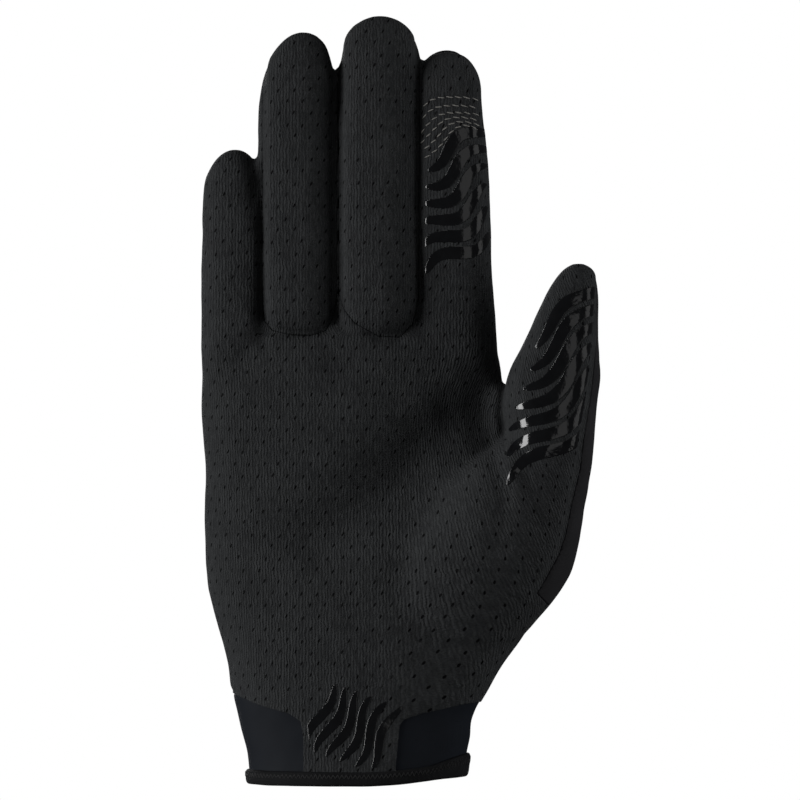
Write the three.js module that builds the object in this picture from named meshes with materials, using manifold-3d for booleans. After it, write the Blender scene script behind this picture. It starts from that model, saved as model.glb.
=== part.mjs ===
// A full-finger cycling glove for the right hand, filled as if worn, with its palm towards -Y and its fingers up.
// Millimetres, +Z up, +X towards the thumb. The origin is the middle of the wrist opening, at the hem's lower edge.
// The cloth is one hollow form of joined tubes, cut along the sewn seams into the glove's panels.
import * as THREE from "three";
import { mergeVertices } from "three/addons/utils/BufferGeometryUtils.js";
import Module from "manifold-3d";

const wasm = await Module();
wasm.setup();

// Cloth, seams and print
const wall = 1.5;
const seamGap = 0.3;
const printThickness = 0.8;
const printMargin = 2.2;

// Hand: the length is from the hem to the middle fingertip, the breadth and the depth are those of the palm
const handLength = 230.9;
const palmLength = 142;
const palmBreadth = 86.9;
const palmDepth = 34;

// Cuff and heel tab
const cuffHeight = 25.5;
const cuffSlope = 4;
const cuffBreadth = 0.8;
const tabWidth = 26;
const tabCentreX = -1.6;
const sleeveBelowHem = 8;

// Hem
const hemHeight = 4.8;
const hemThickness = 0.9;
const hemGroove = 3;
const hemLift = 2.2;
const hemLiftStartX = 2;
const hemLiftEndX = 34;
const hemLiftReach = 36;
const hemWiden = 3;
const hemWidenStartX = 20;

// How far in front of the middle the dents take full effect, as a share of palmDepth
const dentStart = 0.3;

// The dents in the palm's front: the soft hollow from the thumb's crotch towards the heel, and the folds that
// leave the crotch for the thumb's ball. Depth and radius are shares of palmDepth, and fade is how much of the
// depth is lost at the line's far end. Along a line, across is a share of palmBreadth and height of palmLength.
const dents = [
  { depth: 0.138, radius: 0.32, fade: 0.3,
    line: [
      { across: 0.39, height: 0.765 },
      { across: 0.34, height: 0.757 },
      { across: 0.2, height: 0.69 },
      { across: 0.03, height: 0.585 },
      { across: -0.12, height: 0.52 },
    ] },
  { depth: 0.045, radius: 0.12, fade: 0.4,
    line: [
      { across: 0.53, height: 0.725 },
      { across: 0.59, height: 0.648 },
      { across: 0.63, height: 0.55 },
    ] },
  { depth: 0.04, radius: 0.12, fade: 0.6,
    line: [
      { across: 0.47, height: 0.697 },
      { across: 0.5, height: 0.605 },
      { across: 0.48, height: 0.493 },
    ] },
];

// How finely the cloth is faceted
const palmSides = 32;
const fingerSides = 16;
const thumbSides = 20;
const shaftRings = 4;
const baseRings = [0, 0.12, 0.4];
const capRings = [0.55, 0.22, 0.04];
const barSteps = 4;

// The four fingers side by side, from the little finger's side. Width is a share of palmBreadth, depth and forward
// of palmDepth, root and tip of handLength, and cap, the height of the rounded end, of the finger's own width.
// Forward moves its middle towards the palm side. A sewn finger has a front of its own, sewn in across its rounded
// base. The sections are in shares of the finger's width, depth and length.
const fingerGap = 0.7;
const fingerRowStart = -0.54;
const fingerRows = [
  { name: "little", width: 0.1968, depth: 0.53, root: 0.485, tip: 0.8263, cap: 0.643, forward: 0.035, sewn: false,
    sections: [
      { along: 0.0, shift: 0.04, width: 0.92, depth: 0.7 },
      { along: 0.14, shift: 0.026, width: 1.04, depth: 0.92 },
      { along: 0.32, shift: 0.026, width: 1.07, depth: 1.03 },
      { along: 0.62, shift: 0.036, width: 1.06, depth: 1.0 },
      { along: 0.86, shift: 0.03, width: 1.0, depth: 0.92 },
      { along: 1.0, shift: 0.1, width: 0.94, depth: 0.86 },
    ] },
  { name: "ring", width: 0.2647, depth: 0.618, root: 0.582, tip: 0.9796, cap: 0.783, forward: 0.035, sewn: true,
    sections: [
      { along: 0.0, shift: -0.02, width: 1.0, depth: 1.0 },
      { along: 0.12, shift: 0.0, width: 1.08, depth: 1.05 },
      { along: 0.5, shift: 0.0, width: 1.09, depth: 1.0 },
      { along: 0.74, shift: 0.0, width: 1.06, depth: 0.93 },
      { along: 1.0, shift: 0.06, width: 0.94, depth: 0.82 },
    ] },
  { name: "middle", width: 0.2658, depth: 0.618, root: 0.582, tip: 1.0, cap: 0.606, forward: 0.065, sewn: true,
    sections: [
      { along: 0.0, shift: 0.02, width: 1.0, depth: 1.0 },
      { along: 0.12, shift: 0.0, width: 1.08, depth: 1.05 },
      { along: 0.5, shift: 0.0, width: 1.09, depth: 1.0 },
      { along: 0.76, shift: 0.02, width: 1.07, depth: 0.93 },
      { along: 1.0, shift: 0.04, width: 1.05, depth: 0.84 },
    ] },
  { name: "index", width: 0.2486, depth: 0.588, root: 0.485, tip: 0.9554, cap: 0.556, forward: 0.006, sewn: false,
    sections: [
      { along: 0.0, shift: 0.02, width: 0.92, depth: 0.7 },
      { along: 0.12, shift: 0.04, width: 1.1, depth: 0.92 },
      { along: 0.3, shift: -0.021, width: 1.062, depth: 1.03 },
      { along: 0.58, shift: -0.026, width: 1.052, depth: 0.98 },
      { along: 0.8, shift: -0.05, width: 0.97, depth: 0.9 },
      { along: 1.0, shift: -0.09, width: 0.86, depth: 0.82 },
    ] },
];
const fingerSquare = 2.1;
const fingers = fingerRows.map((row) => ({
  ...row,
  width: row.width * palmBreadth,
  depth: row.depth * palmDepth,
  root: row.root * handLength,
  tip: row.tip * handLength,
  cap: row.cap * row.width * palmBreadth,
  forward: row.forward * palmDepth,
}));

// The sewn fingers' bases stand proud of the palm by the swell, which dies away along the finger. At its very
// start a base has a share of the finger's width and depth.
const baseHeight = 8;
const baseSwell = 1.6;
const swellReach = 40;
const baseStart = { width: 0.62, depth: 0.45 };

// The palm's tube from the hem up to the finger webs. Heights are shares of palmLength, left and right of
// palmBreadth, front and back of palmDepth. Square is the section's roundness, 2 for an ellipse.
const palmSections = [
  { height: 0.0, left: -0.371, right: 0.363, front: -0.59, back: 0.65, square: 2.2 },
  { height: 0.063, left: -0.379, right: 0.372, front: -0.58, back: 0.63, square: 2.2 },
  { height: 0.127, left: -0.407, right: 0.393, front: -0.57, back: 0.61, square: 2.2 },
  { height: 0.19, left: -0.434, right: 0.441, front: -0.57, back: 0.58, square: 2.3 },
  { height: 0.2535, left: -0.448, right: 0.5, front: -0.57, back: 0.56, square: 2.3 },
  { height: 0.335, left: -0.482, right: 0.592, front: -0.56, back: 0.55, square: 2.4 },
  { height: 0.4225, left: -0.518, right: 0.637, front: -0.53, back: 0.53, square: 2.3 },
  { height: 0.507, left: -0.528, right: 0.617, front: -0.5, back: 0.51, square: 2.3 },
  { height: 0.6, left: -0.528, right: 0.582, front: -0.47, back: 0.49, square: 2.3 },
  { height: 0.69, left: -0.53, right: 0.54, front: -0.44, back: 0.47, square: 2.6 },
  { height: 0.775, left: -0.537, right: 0.509, front: -0.41, back: 0.45, square: 2.8 },
  { height: 0.859, left: -0.54, right: 0.497, front: -0.37, back: 0.4, square: 2.8 },
  { height: 0.925, left: -0.525, right: 0.477, front: -0.32, back: 0.33, square: 2.7 },
  { height: 0.97, left: -0.49, right: 0.435, front: -0.26, back: 0.25, square: 2.5 },
  { height: 1.0, left: -0.43, right: 0.36, front: -0.14, back: 0.14, square: 2.3 },
];

// The thumb and the swell below it. Heights are shares of thumbLength above thumbRoot, left and right of thumbSpan
// from thumbX, front and back of thumbDepth.
const thumbX = 72;
const thumbRoot = 38;
const thumbLength = 118.4;
const thumbSpan = 60;
const thumbDepth = 30;
const thumbSections = [
  { height: 0.0, left: -1.15, right: -0.5, front: -0.5, back: 0.32, square: 2 },
  { height: 0.07, left: -1.2, right: -0.35, front: -0.64, back: 0.4, square: 2 },
  { height: 0.14, left: -1.18, right: -0.232, front: -0.72, back: 0.42, square: 2 },
  { height: 0.21, left: -1.12, right: -0.145, front: -0.78, back: 0.42, square: 2 },
  { height: 0.29, left: -1.02, right: -0.097, front: -0.83, back: 0.4, square: 2 },
  { height: 0.38, left: -0.87, right: -0.068, front: -0.86, back: 0.35, square: 2 },
  { height: 0.47, left: -0.69, right: -0.04, front: -0.86, back: 0.27, square: 2.1 },
  { height: 0.56, left: -0.51, right: -0.02, front: -0.85, back: 0.17, square: 2.2 },
  { height: 0.64, left: -0.485, right: -0.008, front: -0.83, back: 0.08, square: 2.2 },
  { height: 0.72, left: -0.445, right: -0.002, front: -0.81, back: 0.0, square: 2.2 },
  { height: 0.8, left: -0.372, right: 0.0, front: -0.79, back: -0.06, square: 2.2 },
  { height: 0.87, left: -0.31, right: 0.002, front: -0.76, back: -0.12, square: 2.2 },
  { height: 0.93, left: -0.255, right: 0.0, front: -0.71, back: -0.18, square: 2.1 },
  { height: 0.97, left: -0.205, right: -0.012, front: -0.65, back: -0.24, square: 2 },
  { height: 0.99, left: -0.165, right: -0.04, front: -0.57, back: -0.32, square: 2 },
  { height: 0.998, left: -0.132, right: -0.075, front: -0.5, back: -0.39, square: 2 },
];

// Where the cuff's upper edges end at the hand's sides, in shares of palmBreadth, and how they dip towards the heel
// tab and turn down along it. To tab is 0 at the hand's side and 1 at the tab, height a share of cuffHeight.
const cuffEnds = { left: -0.43, right: 0.41 };
const cuffEdges = {
  left: [
    { toTab: 0.333, height: 0.96 },
    { toTab: 0.75, height: 0.86 },
    { toTab: 0.895, height: 0.77 },
    { toTab: 0.926, height: 0.58 },
  ],
  right: [
    { toTab: 0.667, height: 0.85 },
    { toTab: 0.9, height: 0.78 },
    { toTab: 0.95, height: 0.72 },
    { toTab: 1.0, height: 0.24 },
  ],
};

// Where the side seams lie, seen from above: how far back the front panels reach, from the little finger's side
// across to the thumb's. Across is a share of palmBreadth, back of palmDepth.
const sideSeam = [
  { across: -0.41, back: 0.12 },
  { across: -0.34, back: -0.044 },
  { across: 0.34, back: -0.044 },
  { across: 0.42, back: -0.15 },
  { across: 0.49, back: -0.15 },
  { across: 0.56, back: -0.265 },
  { across: 0.76, back: -0.265 },
  { across: 0.82, back: -0.375 },
];
const heelSeam = [
  { across: -0.41, back: 0.12 },
  { across: -0.34, back: -0.044 },
  { across: 0.36, back: -0.044 },
  { across: 0.44, back: 0.12 },
];

// The seam down the thumb's outer side, seen from the palm: a strip of the back cloth shows outside it.
// Heights are shares of thumbLength above thumbRoot, across is in shares of thumbSpan from thumbX.
const thumbSeam = [
  { height: 0.133, across: -0.243 },
  { height: 0.168, across: -0.31 },
  { height: 0.184, across: -0.288 },
  { height: 0.221, across: -0.248 },
  { height: 0.266, across: -0.2 },
  { height: 0.314, across: -0.168 },
  { height: 0.395, across: -0.137 },
  { height: 0.48, across: -0.097 },
  { height: 0.553, across: -0.08 },
  { height: 0.655, across: -0.045 },
  { height: 0.811, across: -0.012 },
  { height: 0.97, across: 0.01 },
];

// How much of its width a bar keeps at its ends, and how far each bar's wave is shifted from the last one's
const barTaper = 0.25;
const waveShift = 0.13;

// The raised grip bars: rows of like bars, printed side by side, each one waving along its own length. From and to
// are the first bar's ends and step leads to the next one, in shares of the named part's width and of its length
// above its root. Wave and width are in millimetres.
const gripRows = [
  { name: "index_grip", bars: 6, across: fingerSpan("index"), up: fingerReach("index"), width: 4, wave: 2.3,
    from: { across: 0.06, up: 0.385 }, to: { across: 0.96, up: 0.505 }, step: { across: 0, up: 0.061 } },
  { name: "thumb_grip", bars: 7, across: { low: thumbX - thumbSpan, size: thumbSpan },
    up: { low: thumbRoot, size: thumbLength }, width: 3.8, wave: 2.4,
    from: { across: 0.585, up: 0.445 }, to: { across: 0.965, up: 0.61 }, step: { across: 0.02, up: 0.06 } },
  { name: "heel_grip", bars: 6, across: { low: tabCentreX - tabWidth / 2, size: tabWidth },
    up: { low: 0, size: cuffHeight }, width: 2.6, wave: 1.2,
    from: { across: -0.02, up: 0.46 }, to: { across: 0.3, up: 1.2 }, step: { across: 0.145, up: -0.05 } },
];

// The stretch that a finger takes up across the row, and the one that it takes up in height
function fingerSpan(name) {
  const i = fingers.findIndex((finger) => finger.name === name);
  const before = fingers.slice(0, i).reduce((sum, finger) => sum + finger.width + fingerGap, 0);
  return { low: fingerRowStart * palmBreadth + before, size: fingers[i].width };
}

function fingerReach(name) {
  const { root, tip } = fingers.find((finger) => finger.name === name);
  return { low: root, size: tip - root };
}

// Eases in and out from 0 to 1
function ease(t) {
  const s = THREE.MathUtils.clamp(t, 0, 1);
  return s * s * (3 - 2 * s);
}

// A table's row at any place in between, smooth through its own rows. Key names the column that places the rows.
function rowAt(table, key, place) {
  let i = 0;
  while (i < table.length - 2 && table[i + 1][key] < place) i += 1;
  const [a, b] = [table[i], table[i + 1]];
  const [before, after] = [table[i - 1] ?? a, table[i + 2] ?? b];
  const span = b[key] - a[key];
  const t = THREE.MathUtils.clamp((place - a[key]) / span, 0, 1);
  const row = { [key]: place };
  for (const column of Object.keys(a)) {
    if (column === key) continue;
    const slopeA = (span * (b[column] - before[column])) / (b[key] - before[key]);
    const slopeB = (span * (after[column] - a[column])) / (after[key] - a[key]);
    const rise = b[column] - a[column];
    row[column] =
      a[column] + t * (slopeA + t * (3 * rise - 2 * slopeA - slopeB + t * (slopeA + slopeB - 2 * rise)));
  }
  return row;
}

// A level section of a tube from its four sides
function sectionOf(z, [left, right], [front, back], square) {
  return {
    x: (left + right) / 2,
    y: (front + back) / 2,
    z,
    halfWidth: (right - left) / 2,
    halfDepth: (back - front) / 2,
    square,
  };
}

// The palm tube's section at a height above the hem
function palmSection(z) {
  const row = rowAt(palmSections, "height", z / palmLength);
  const sides = [row.left * palmBreadth, row.right * palmBreadth];
  return sectionOf(z, sides, [row.front * palmDepth, row.back * palmDepth], row.square);
}

// The thumb tube's section at a height above the hem
function thumbSection(z) {
  const row = rowAt(thumbSections, "height", (z - thumbRoot) / thumbLength);
  const sides = [thumbX + row.left * thumbSpan, thumbX + row.right * thumbSpan];
  return sectionOf(z, sides, [row.front * thumbDepth, row.back * thumbDepth], row.square);
}

// How wide a rounded end is, as a share, at a share of its height from its very end
function roundEnd(share) {
  return Math.sqrt(1 - (1 - THREE.MathUtils.clamp(share, 0, 1)) ** 2);
}

// A finger tube's section at a height above the hem, rounded at its tip and at a sewn base
function fingerSection(finger, z) {
  const row = rowAt(finger.sections, "along", (z - finger.root) / (finger.tip - finger.root));
  const span = fingerSpan(finger.name);
  const round = roundEnd((finger.tip - z) / finger.cap);
  const base = finger.sewn ? roundEnd((z - finger.root) / baseHeight) : 1;
  const swell = finger.sewn ? baseSwell * (1 - ease((z - finger.root - baseHeight) / swellReach)) : 0;
  return {
    x: span.low + finger.width * (0.5 + row.shift),
    y: -finger.forward - swell,
    z,
    halfWidth: (finger.width / 2) * row.width * round * THREE.MathUtils.lerp(baseStart.width, 1, base),
    halfDepth: (finger.depth / 2) * row.depth * round * THREE.MathUtils.lerp(baseStart.depth, 1, base),
    square: fingerSquare,
  };
}

function sectionPoint(section, angle) {
  const power = 2 / section.square;
  const [c, s] = [Math.cos(angle), Math.sin(angle)];
  return new THREE.Vector3(
    section.x + section.halfWidth * Math.sign(c) * Math.abs(c) ** power,
    section.y + section.halfDepth * Math.sign(s) * Math.abs(s) ** power,
    section.z,
  );
}

// How far a point seen from the palm lies from a line, and how far along the line, as a share, its nearest place is
function nearLine(x, z, line) {
  const points = line.map((row) => new THREE.Vector2(row.across * palmBreadth, row.height * palmLength));
  const spans = points.slice(1).map((point, i) => point.distanceTo(points[i]));
  const total = spans.reduce((sum, span) => sum + span, 0);
  let near = { away: Infinity, along: 0 };
  let passed = 0;
  spans.forEach((span, i) => {
    const step = points[i + 1].clone().sub(points[i]);
    const from = new THREE.Vector2(x, z).sub(points[i]);
    const share = THREE.MathUtils.clamp(from.dot(step) / (span * span), 0, 1);
    const away = from.addScaledVector(step, -share).length();
    if (away < near.away) near = { away, along: (passed + share * span) / total };
    passed += span;
  });
  return near;
}

// Pushes the front of the cloth inwards along each dent, and leaves the back alone.
function dented(p) {
  const front = ease(-p.y / (dentStart * palmDepth));
  dents.forEach((dent) => {
    const { away, along } = nearLine(p.x, p.z, dent.line);
    const fall = Math.exp(-((away / (dent.radius * palmDepth)) ** 2));
    p.y += dent.depth * palmDepth * (1 - dent.fade * along) * front * fall;
  });
  return p;
}

// Lifts the cuff's lower edge on the thumb's side, where it rides up and its tape is drawn wide.
function lifted(p) {
  const across = ease((p.x - hemLiftStartX) / (hemLiftEndX - hemLiftStartX));
  const wide = ease((p.x - hemWidenStartX) / (hemLiftEndX - hemWidenStartX)) * ease(p.z / hemHeight);
  p.z += (hemLift * across + hemWiden * wide) * (1 - ease(p.z / hemLiftReach));
  return p;
}

// The outward direction of a tube's surface, from its neighbouring points
function tubeNormal(pointAt, z, angle, limits) {
  const turn = 0.02;
  const rise = 0.4;
  const around = pointAt(z, angle + turn).sub(pointAt(z, angle - turn));
  const up = pointAt(Math.min(z + rise, limits[1]), angle).sub(pointAt(Math.max(z - rise, limits[0]), angle));
  return around.cross(up).normalize();
}

// A closed tube through level sections at the given heights, its surface moved out by an offset, with a flat cap
// at either end
function tube(sectionAt, heights, sides, offset, shape) {
  const pointAt = (z, angle) => shape(sectionPoint(sectionAt(z), angle));
  const limits = [heights[0], heights[heights.length - 1]];
  const positions = [];
  const faces = [];
  heights.forEach((z) => {
    for (let i = 0; i < sides; i += 1) {
      const angle = (2 * Math.PI * (i + 0.5)) / sides;
      const p = pointAt(z, angle).addScaledVector(tubeNormal(pointAt, z, angle, limits), offset);
      positions.push(p.x, p.y, p.z);
    }
  });
  heights.slice(1).forEach((_, r) => {
    for (let i = 0; i < sides; i += 1) {
      const [a, b] = [r * sides + i, r * sides + ((i + 1) % sides)];
      const [c, d] = [a + sides, b + sides];
      faces.push(a, b, d, a, d, c);
    }
  });
  const caps = [
    { ring: 0, z: limits[0], lift: -offset, turned: true },
    { ring: (heights.length - 1) * sides, z: limits[1], lift: offset, turned: false },
  ];
  caps.forEach(({ ring, z, lift, turned }) => {
    const centre = positions.length / 3;
    const { x, y } = sectionAt(z);
    positions.push(x, y, z + lift);
    for (let i = 0; i < sides; i += 1) {
      const [a, b] = [ring + i, ring + ((i + 1) % sides)];
      faces.push(...(turned ? [b, a, centre] : [a, b, centre]));
    }
  });
  const geometry = new THREE.BufferGeometry();
  geometry.setAttribute("position", new THREE.Float32BufferAttribute(positions, 3));
  geometry.setIndex(faces);
  return solidOf(geometry);
}

// A three.js geometry as a solid that can be joined and cut
function solidOf(geometry) {
  const bare = geometry.clone();
  bare.deleteAttribute("normal");
  bare.deleteAttribute("uv");
  const merged = mergeVertices(bare, 1e-4);
  return new wasm.Manifold(
    new wasm.Mesh({
      numProp: 3,
      vertProperties: new Float32Array(merged.attributes.position.array),
      triVerts: new Uint32Array(merged.index.array),
    }),
  );
}

function joined(solids) {
  return solids.reduce((all, next) => all.add(next));
}

// Where a finger's rings lie: close together at the rounded ends, and evenly along the shaft
function fingerHeights(finger) {
  const baseShares = finger.sewn ? baseRings : [];
  const shaftStart = finger.sewn ? finger.root + baseHeight : finger.root;
  const shaftLength = finger.tip - finger.cap - shaftStart;
  return [
    ...baseShares.map((share) => finger.root + share * baseHeight),
    ...Array.from({ length: shaftRings + 1 }, (_, i) => shaftStart + (shaftLength * i) / shaftRings),
    ...capRings.map((share) => finger.tip - share * finger.cap),
  ];
}

const unshaped = (p) => p;

function fingerTube(finger, offset) {
  return tube((z) => fingerSection(finger, z), fingerHeights(finger), fingerSides, offset, unshaped);
}

// The whole glove's form with its surface moved out by an offset. Its wrist end runs on below the hem.
function form(offset) {
  const palmHeights = palmSections.map((row) => row.height * palmLength);
  const thumbHeights = thumbSections.map((row) => thumbRoot + row.height * thumbLength);
  return joined([
    tube(palmSection, [-sleeveBelowHem, ...palmHeights], palmSides, offset, dented),
    tube(thumbSection, thumbHeights, thumbSides, offset, dented),
    ...fingers.map((finger) => fingerTube(finger, offset)),
  ]);
}

// An upright block whose outline is drawn seen from above, X across and Y back, between two heights
function standingBlock(outline, lowZ, highZ) {
  const shape = new THREE.Shape(outline.map(([x, y]) => new THREE.Vector2(x, y)));
  const geometry = new THREE.ExtrudeGeometry(shape, { depth: highZ - lowZ, bevelEnabled: false });
  return solidOf(geometry.translate(0, 0, lowZ));
}

// A block through the glove from front to back whose outline is drawn seen from the palm, X across and Z up
const far = 400;
function throughBlock(outline) {
  const shape = new THREE.Shape(outline.map(([x, z]) => new THREE.Vector2(x, z)));
  const geometry = new THREE.ExtrudeGeometry(shape, { depth: 2 * far, bevelEnabled: false });
  return solidOf(geometry.rotateX(Math.PI / 2).translate(0, far, 0));
}

// All that lies above a height, or below it
const above = (z) => throughBlock([[-far, z], [far, z], [far, far], [-far, far]]);
const below = (z) => throughBlock([[-far, -far], [far, -far], [far, z], [-far, z]]);

// An outline moved outwards by a distance, its corners mitred. It runs anticlockwise.
function grown(outline, distance) {
  const sharpest = 0.4;
  return outline.map((point, i) => {
    const before = outline[(i + outline.length - 1) % outline.length];
    const after = outline[(i + 1) % outline.length];
    const sideIn = new THREE.Vector2(point[1] - before[1], before[0] - point[0]).normalize();
    const sideOut = new THREE.Vector2(after[1] - point[1], point[0] - after[0]).normalize();
    const mitre = sideIn.clone().add(sideOut).normalize();
    const reach = distance / Math.max(mitre.dot(sideIn), sharpest);
    return [point[0] + mitre.x * reach, point[1] + mitre.y * reach];
  });
}

const thumbSeamPoints = thumbSeam.map((row) => [
  thumbX + row.across * thumbSpan,
  thumbRoot + row.height * thumbLength,
]);
const tabLeft = tabCentreX - tabWidth / 2;
const tabRight = tabCentreX + tabWidth / 2;
const cuffTopAt = (x) => cuffHeight - (cuffSlope * x) / (cuffBreadth * palmBreadth);

// The palm panel seen from the front: the cuff's slanted upper edges and the tab down to the hem between them,
// the seam up the thumb's outer side, and open ground elsewhere
function palmOutline() {
  const [leftEdge, rightEdge] = [cuffEnds.left * palmBreadth, cuffEnds.right * palmBreadth];
  const [seamFoot] = thumbSeamPoints;
  const seamTop = thumbSeamPoints[thumbSeamPoints.length - 1];
  const edgePoints = (rows, side, tab) =>
    rows.map((row) => [THREE.MathUtils.lerp(side, tab, row.toTab), row.height * cuffHeight]);
  return [
    [-far, cuffTopAt(leftEdge)],
    [leftEdge, cuffTopAt(leftEdge)],
    ...edgePoints(cuffEdges.left, leftEdge, tabLeft),
    [tabLeft, -far],
    [tabRight, -far],
    ...edgePoints(cuffEdges.right, rightEdge, tabRight).reverse(),
    [rightEdge, cuffTopAt(rightEdge)],
    [far, cuffTopAt(rightEdge)],
    [far, seamFoot[1]],
    ...thumbSeamPoints,
    [seamTop[0], far],
    [-far, far],
  ];
}

// All that lies in front of a side seam, between two heights
function inFrontOf(seam, lowZ, highZ, grow) {
  const line = seam.map((row) => [row.across * palmBreadth, row.back * palmDepth + grow]);
  const [first, last] = [line[0], line[line.length - 1]];
  const outline = [[-far, -far], [far, -far], [far, last[1]], ...line.reverse(), [-far, first[1]]];
  return standingBlock(outline, lowZ, highZ);
}

// The room that the palm panel takes up. Above the foot of the thumb's seam the back cloth comes round the thumb,
// and below it the palm's cloth wraps round to the back. The two parts overlap a little, to make one solid.
const roomOverlap = 0.1;
function palmRoom(grow) {
  const [, footZ] = thumbSeamPoints[0];
  const depth = joined([
    inFrontOf(sideSeam, footZ, far, grow),
    inFrontOf(heelSeam, -far, footZ + grow + roomOverlap, grow),
  ]);
  return throughBlock(grown(palmOutline(), grow)).intersect(depth);
}

// The room that a sewn finger's front takes up, between the lines where the finger meets its neighbours
function sewnRoom(finger, grow) {
  const { low, size } = fingerSpan(finger.name);
  const reach = (fingerGap - seamGap) / 2 + grow;
  const between = throughBlock([
    [low - reach, -far],
    [low + size + reach, -far],
    [low + size + reach, far],
    [low - reach, far],
  ]);
  return fingerTube(finger, grow).intersect(inFrontOf(sideSeam, -far, far, grow)).intersect(between);
}

function meshOf(solid, name, material) {
  const { numProp, numVert, vertProperties, triVerts } = solid.getMesh();
  const positions = new Float32Array(numVert * 3);
  for (let i = 0; i < numVert; i += 1) {
    const at = i * numProp;
    const p = lifted(new THREE.Vector3(vertProperties[at], vertProperties[at + 1], vertProperties[at + 2]));
    positions.set([p.x, p.y, p.z], i * 3);
  }
  const geometry = new THREE.BufferGeometry();
  geometry.setAttribute("position", new THREE.BufferAttribute(positions, 3));
  geometry.setIndex(new THREE.BufferAttribute(new Uint32Array(triVerts), 1));
  geometry.computeVertexNormals();
  const mesh = new THREE.Mesh(geometry, material);
  mesh.name = name;
  return mesh;
}

const perforatedKnit = new THREE.MeshStandardMaterial({ color: 0x1b1c1c, roughness: 0.9, metalness: 0 });
const stretchCloth = new THREE.MeshStandardMaterial({ color: 0x121213, roughness: 0.8, metalness: 0 });
const cuffCloth = new THREE.MeshStandardMaterial({ color: 0x0d1014, roughness: 0.75, metalness: 0 });
const bindingTape = new THREE.MeshStandardMaterial({ color: 0x131414, roughness: 0.85, metalness: 0 });
const siliconePrint = new THREE.MeshStandardMaterial({ color: 0x08090a, roughness: 0.25, metalness: 0 });

// The panels that the cloth is cut into along its seams. The cloth is open at the wrist, above the floor of the
// hem's groove.
function panels() {
  const outside = form(0);
  const inside = form(-wall);
  const edge = hemHeight - hemGroove + seamGap;
  const shell = outside.subtract(inside).intersect(above(edge));
  const sewn = fingers.filter((finger) => finger.sewn);
  const fronts = sewn.map((finger) => sewnRoom(finger, 0).subtract(inside));
  const rest = shell.subtract(joined(sewn.map((finger) => sewnRoom(finger, seamGap))));
  const palm = rest.intersect(palmRoom(0));
  const behind = rest.subtract(palmRoom(seamGap));
  const underCuffTop = (grow) =>
    throughBlock([[-far, -far], [far, -far], [far, cuffTopAt(far) + grow], [-far, cuffTopAt(-far) + grow]]);
  return [
    meshOf(palm, "palm_panel", perforatedKnit),
    ...sewn.map((finger, i) => meshOf(fronts[i], `${finger.name}_finger_front`, perforatedKnit)),
    meshOf(behind.subtract(underCuffTop(seamGap)), "back_panel", stretchCloth),
    meshOf(behind.intersect(underCuffTop(0)), "cuff_band", cuffCloth),
  ];
}

// The hem's folded tape, with a groove that the panels' lower edges stand in
function hemBinding() {
  const tape = form(hemThickness).subtract(form(-wall - hemThickness));
  const groove = form(seamGap).subtract(form(-wall - seamGap)).intersect(above(hemHeight - hemGroove));
  const level = tape.intersect(above(0)).intersect(below(hemHeight));
  return meshOf(level.subtract(groove), "hem_binding", bindingTape);
}

// One bar's outline seen from the palm, waving along its middle line and thinner towards its rounded ends
function barOutline(row, index) {
  const place = (end, axis, stretch) => stretch.low + stretch.size * (end[axis] + index * row.step[axis]);
  const from = new THREE.Vector2(place(row.from, "across", row.across), place(row.from, "up", row.up));
  const to = new THREE.Vector2(place(row.to, "across", row.across), place(row.to, "up", row.up));
  const along = to.clone().sub(from);
  const side = new THREE.Vector2(-along.y, along.x).normalize();
  const edge = (sign) =>
    Array.from({ length: barSteps + 1 }, (_, i) => {
      const t = i / barSteps;
      const bend = row.wave * Math.sin(2 * Math.PI * (t + waveShift * index));
      const half = (row.width / 2) * THREE.MathUtils.lerp(barTaper, 1, Math.sqrt(Math.sin(Math.PI * t)));
      return from.clone().addScaledVector(along, t).addScaledVector(side, bend + sign * half).toArray();
    });
  return [...edge(-1), ...edge(1).reverse()];
}

function gripBars() {
  const skin = form(seamGap + printThickness).subtract(form(seamGap));
  const printed = skin.intersect(palmRoom(-printMargin)).intersect(above(hemHeight + printMargin / 2));
  return gripRows.flatMap((row) =>
    Array.from({ length: row.bars }, (_, i) =>
      meshOf(printed.intersect(throughBlock(barOutline(row, i))), `${row.name}_${i + 1}`, siliconePrint)));
}

const glove = new THREE.Group();
glove.add(...panels(), hemBinding(), ...gripBars());

export default glove;
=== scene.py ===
"""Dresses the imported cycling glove: cloth panels, silicone prints, stitches, hem tape, studio and camera."""

import logging
import math
from collections.abc import Callable, Iterable, Sequence
from dataclasses import dataclass
from enum import Enum
from typing import NamedTuple

import bmesh
import bpy
import numpy as np
from bmesh.types import BMesh, BMVert
from bpy.types import Material, Node, NodeSocket, Object
from mathutils import Matrix, Vector, noise
from mathutils.bvhtree import BVHTree


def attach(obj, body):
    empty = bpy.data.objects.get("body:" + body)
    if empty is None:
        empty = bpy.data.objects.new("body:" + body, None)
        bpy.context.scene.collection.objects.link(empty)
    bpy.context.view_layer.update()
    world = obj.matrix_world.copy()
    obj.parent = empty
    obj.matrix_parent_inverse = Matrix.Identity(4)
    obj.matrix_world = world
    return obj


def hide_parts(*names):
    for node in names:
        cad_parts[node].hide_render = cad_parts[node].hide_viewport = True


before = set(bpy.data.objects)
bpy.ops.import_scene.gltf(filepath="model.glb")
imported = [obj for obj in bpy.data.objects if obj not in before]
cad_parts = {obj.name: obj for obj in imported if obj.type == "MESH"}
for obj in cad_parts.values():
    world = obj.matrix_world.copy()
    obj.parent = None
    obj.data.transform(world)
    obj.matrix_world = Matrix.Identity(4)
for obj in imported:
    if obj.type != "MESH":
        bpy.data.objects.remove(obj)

log = logging.getLogger("glove")

MM = 0.001
Triple = tuple[float, float, float]
Colour = Triple
Line = Sequence[tuple[float, float]]
Array = np.ndarray


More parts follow.
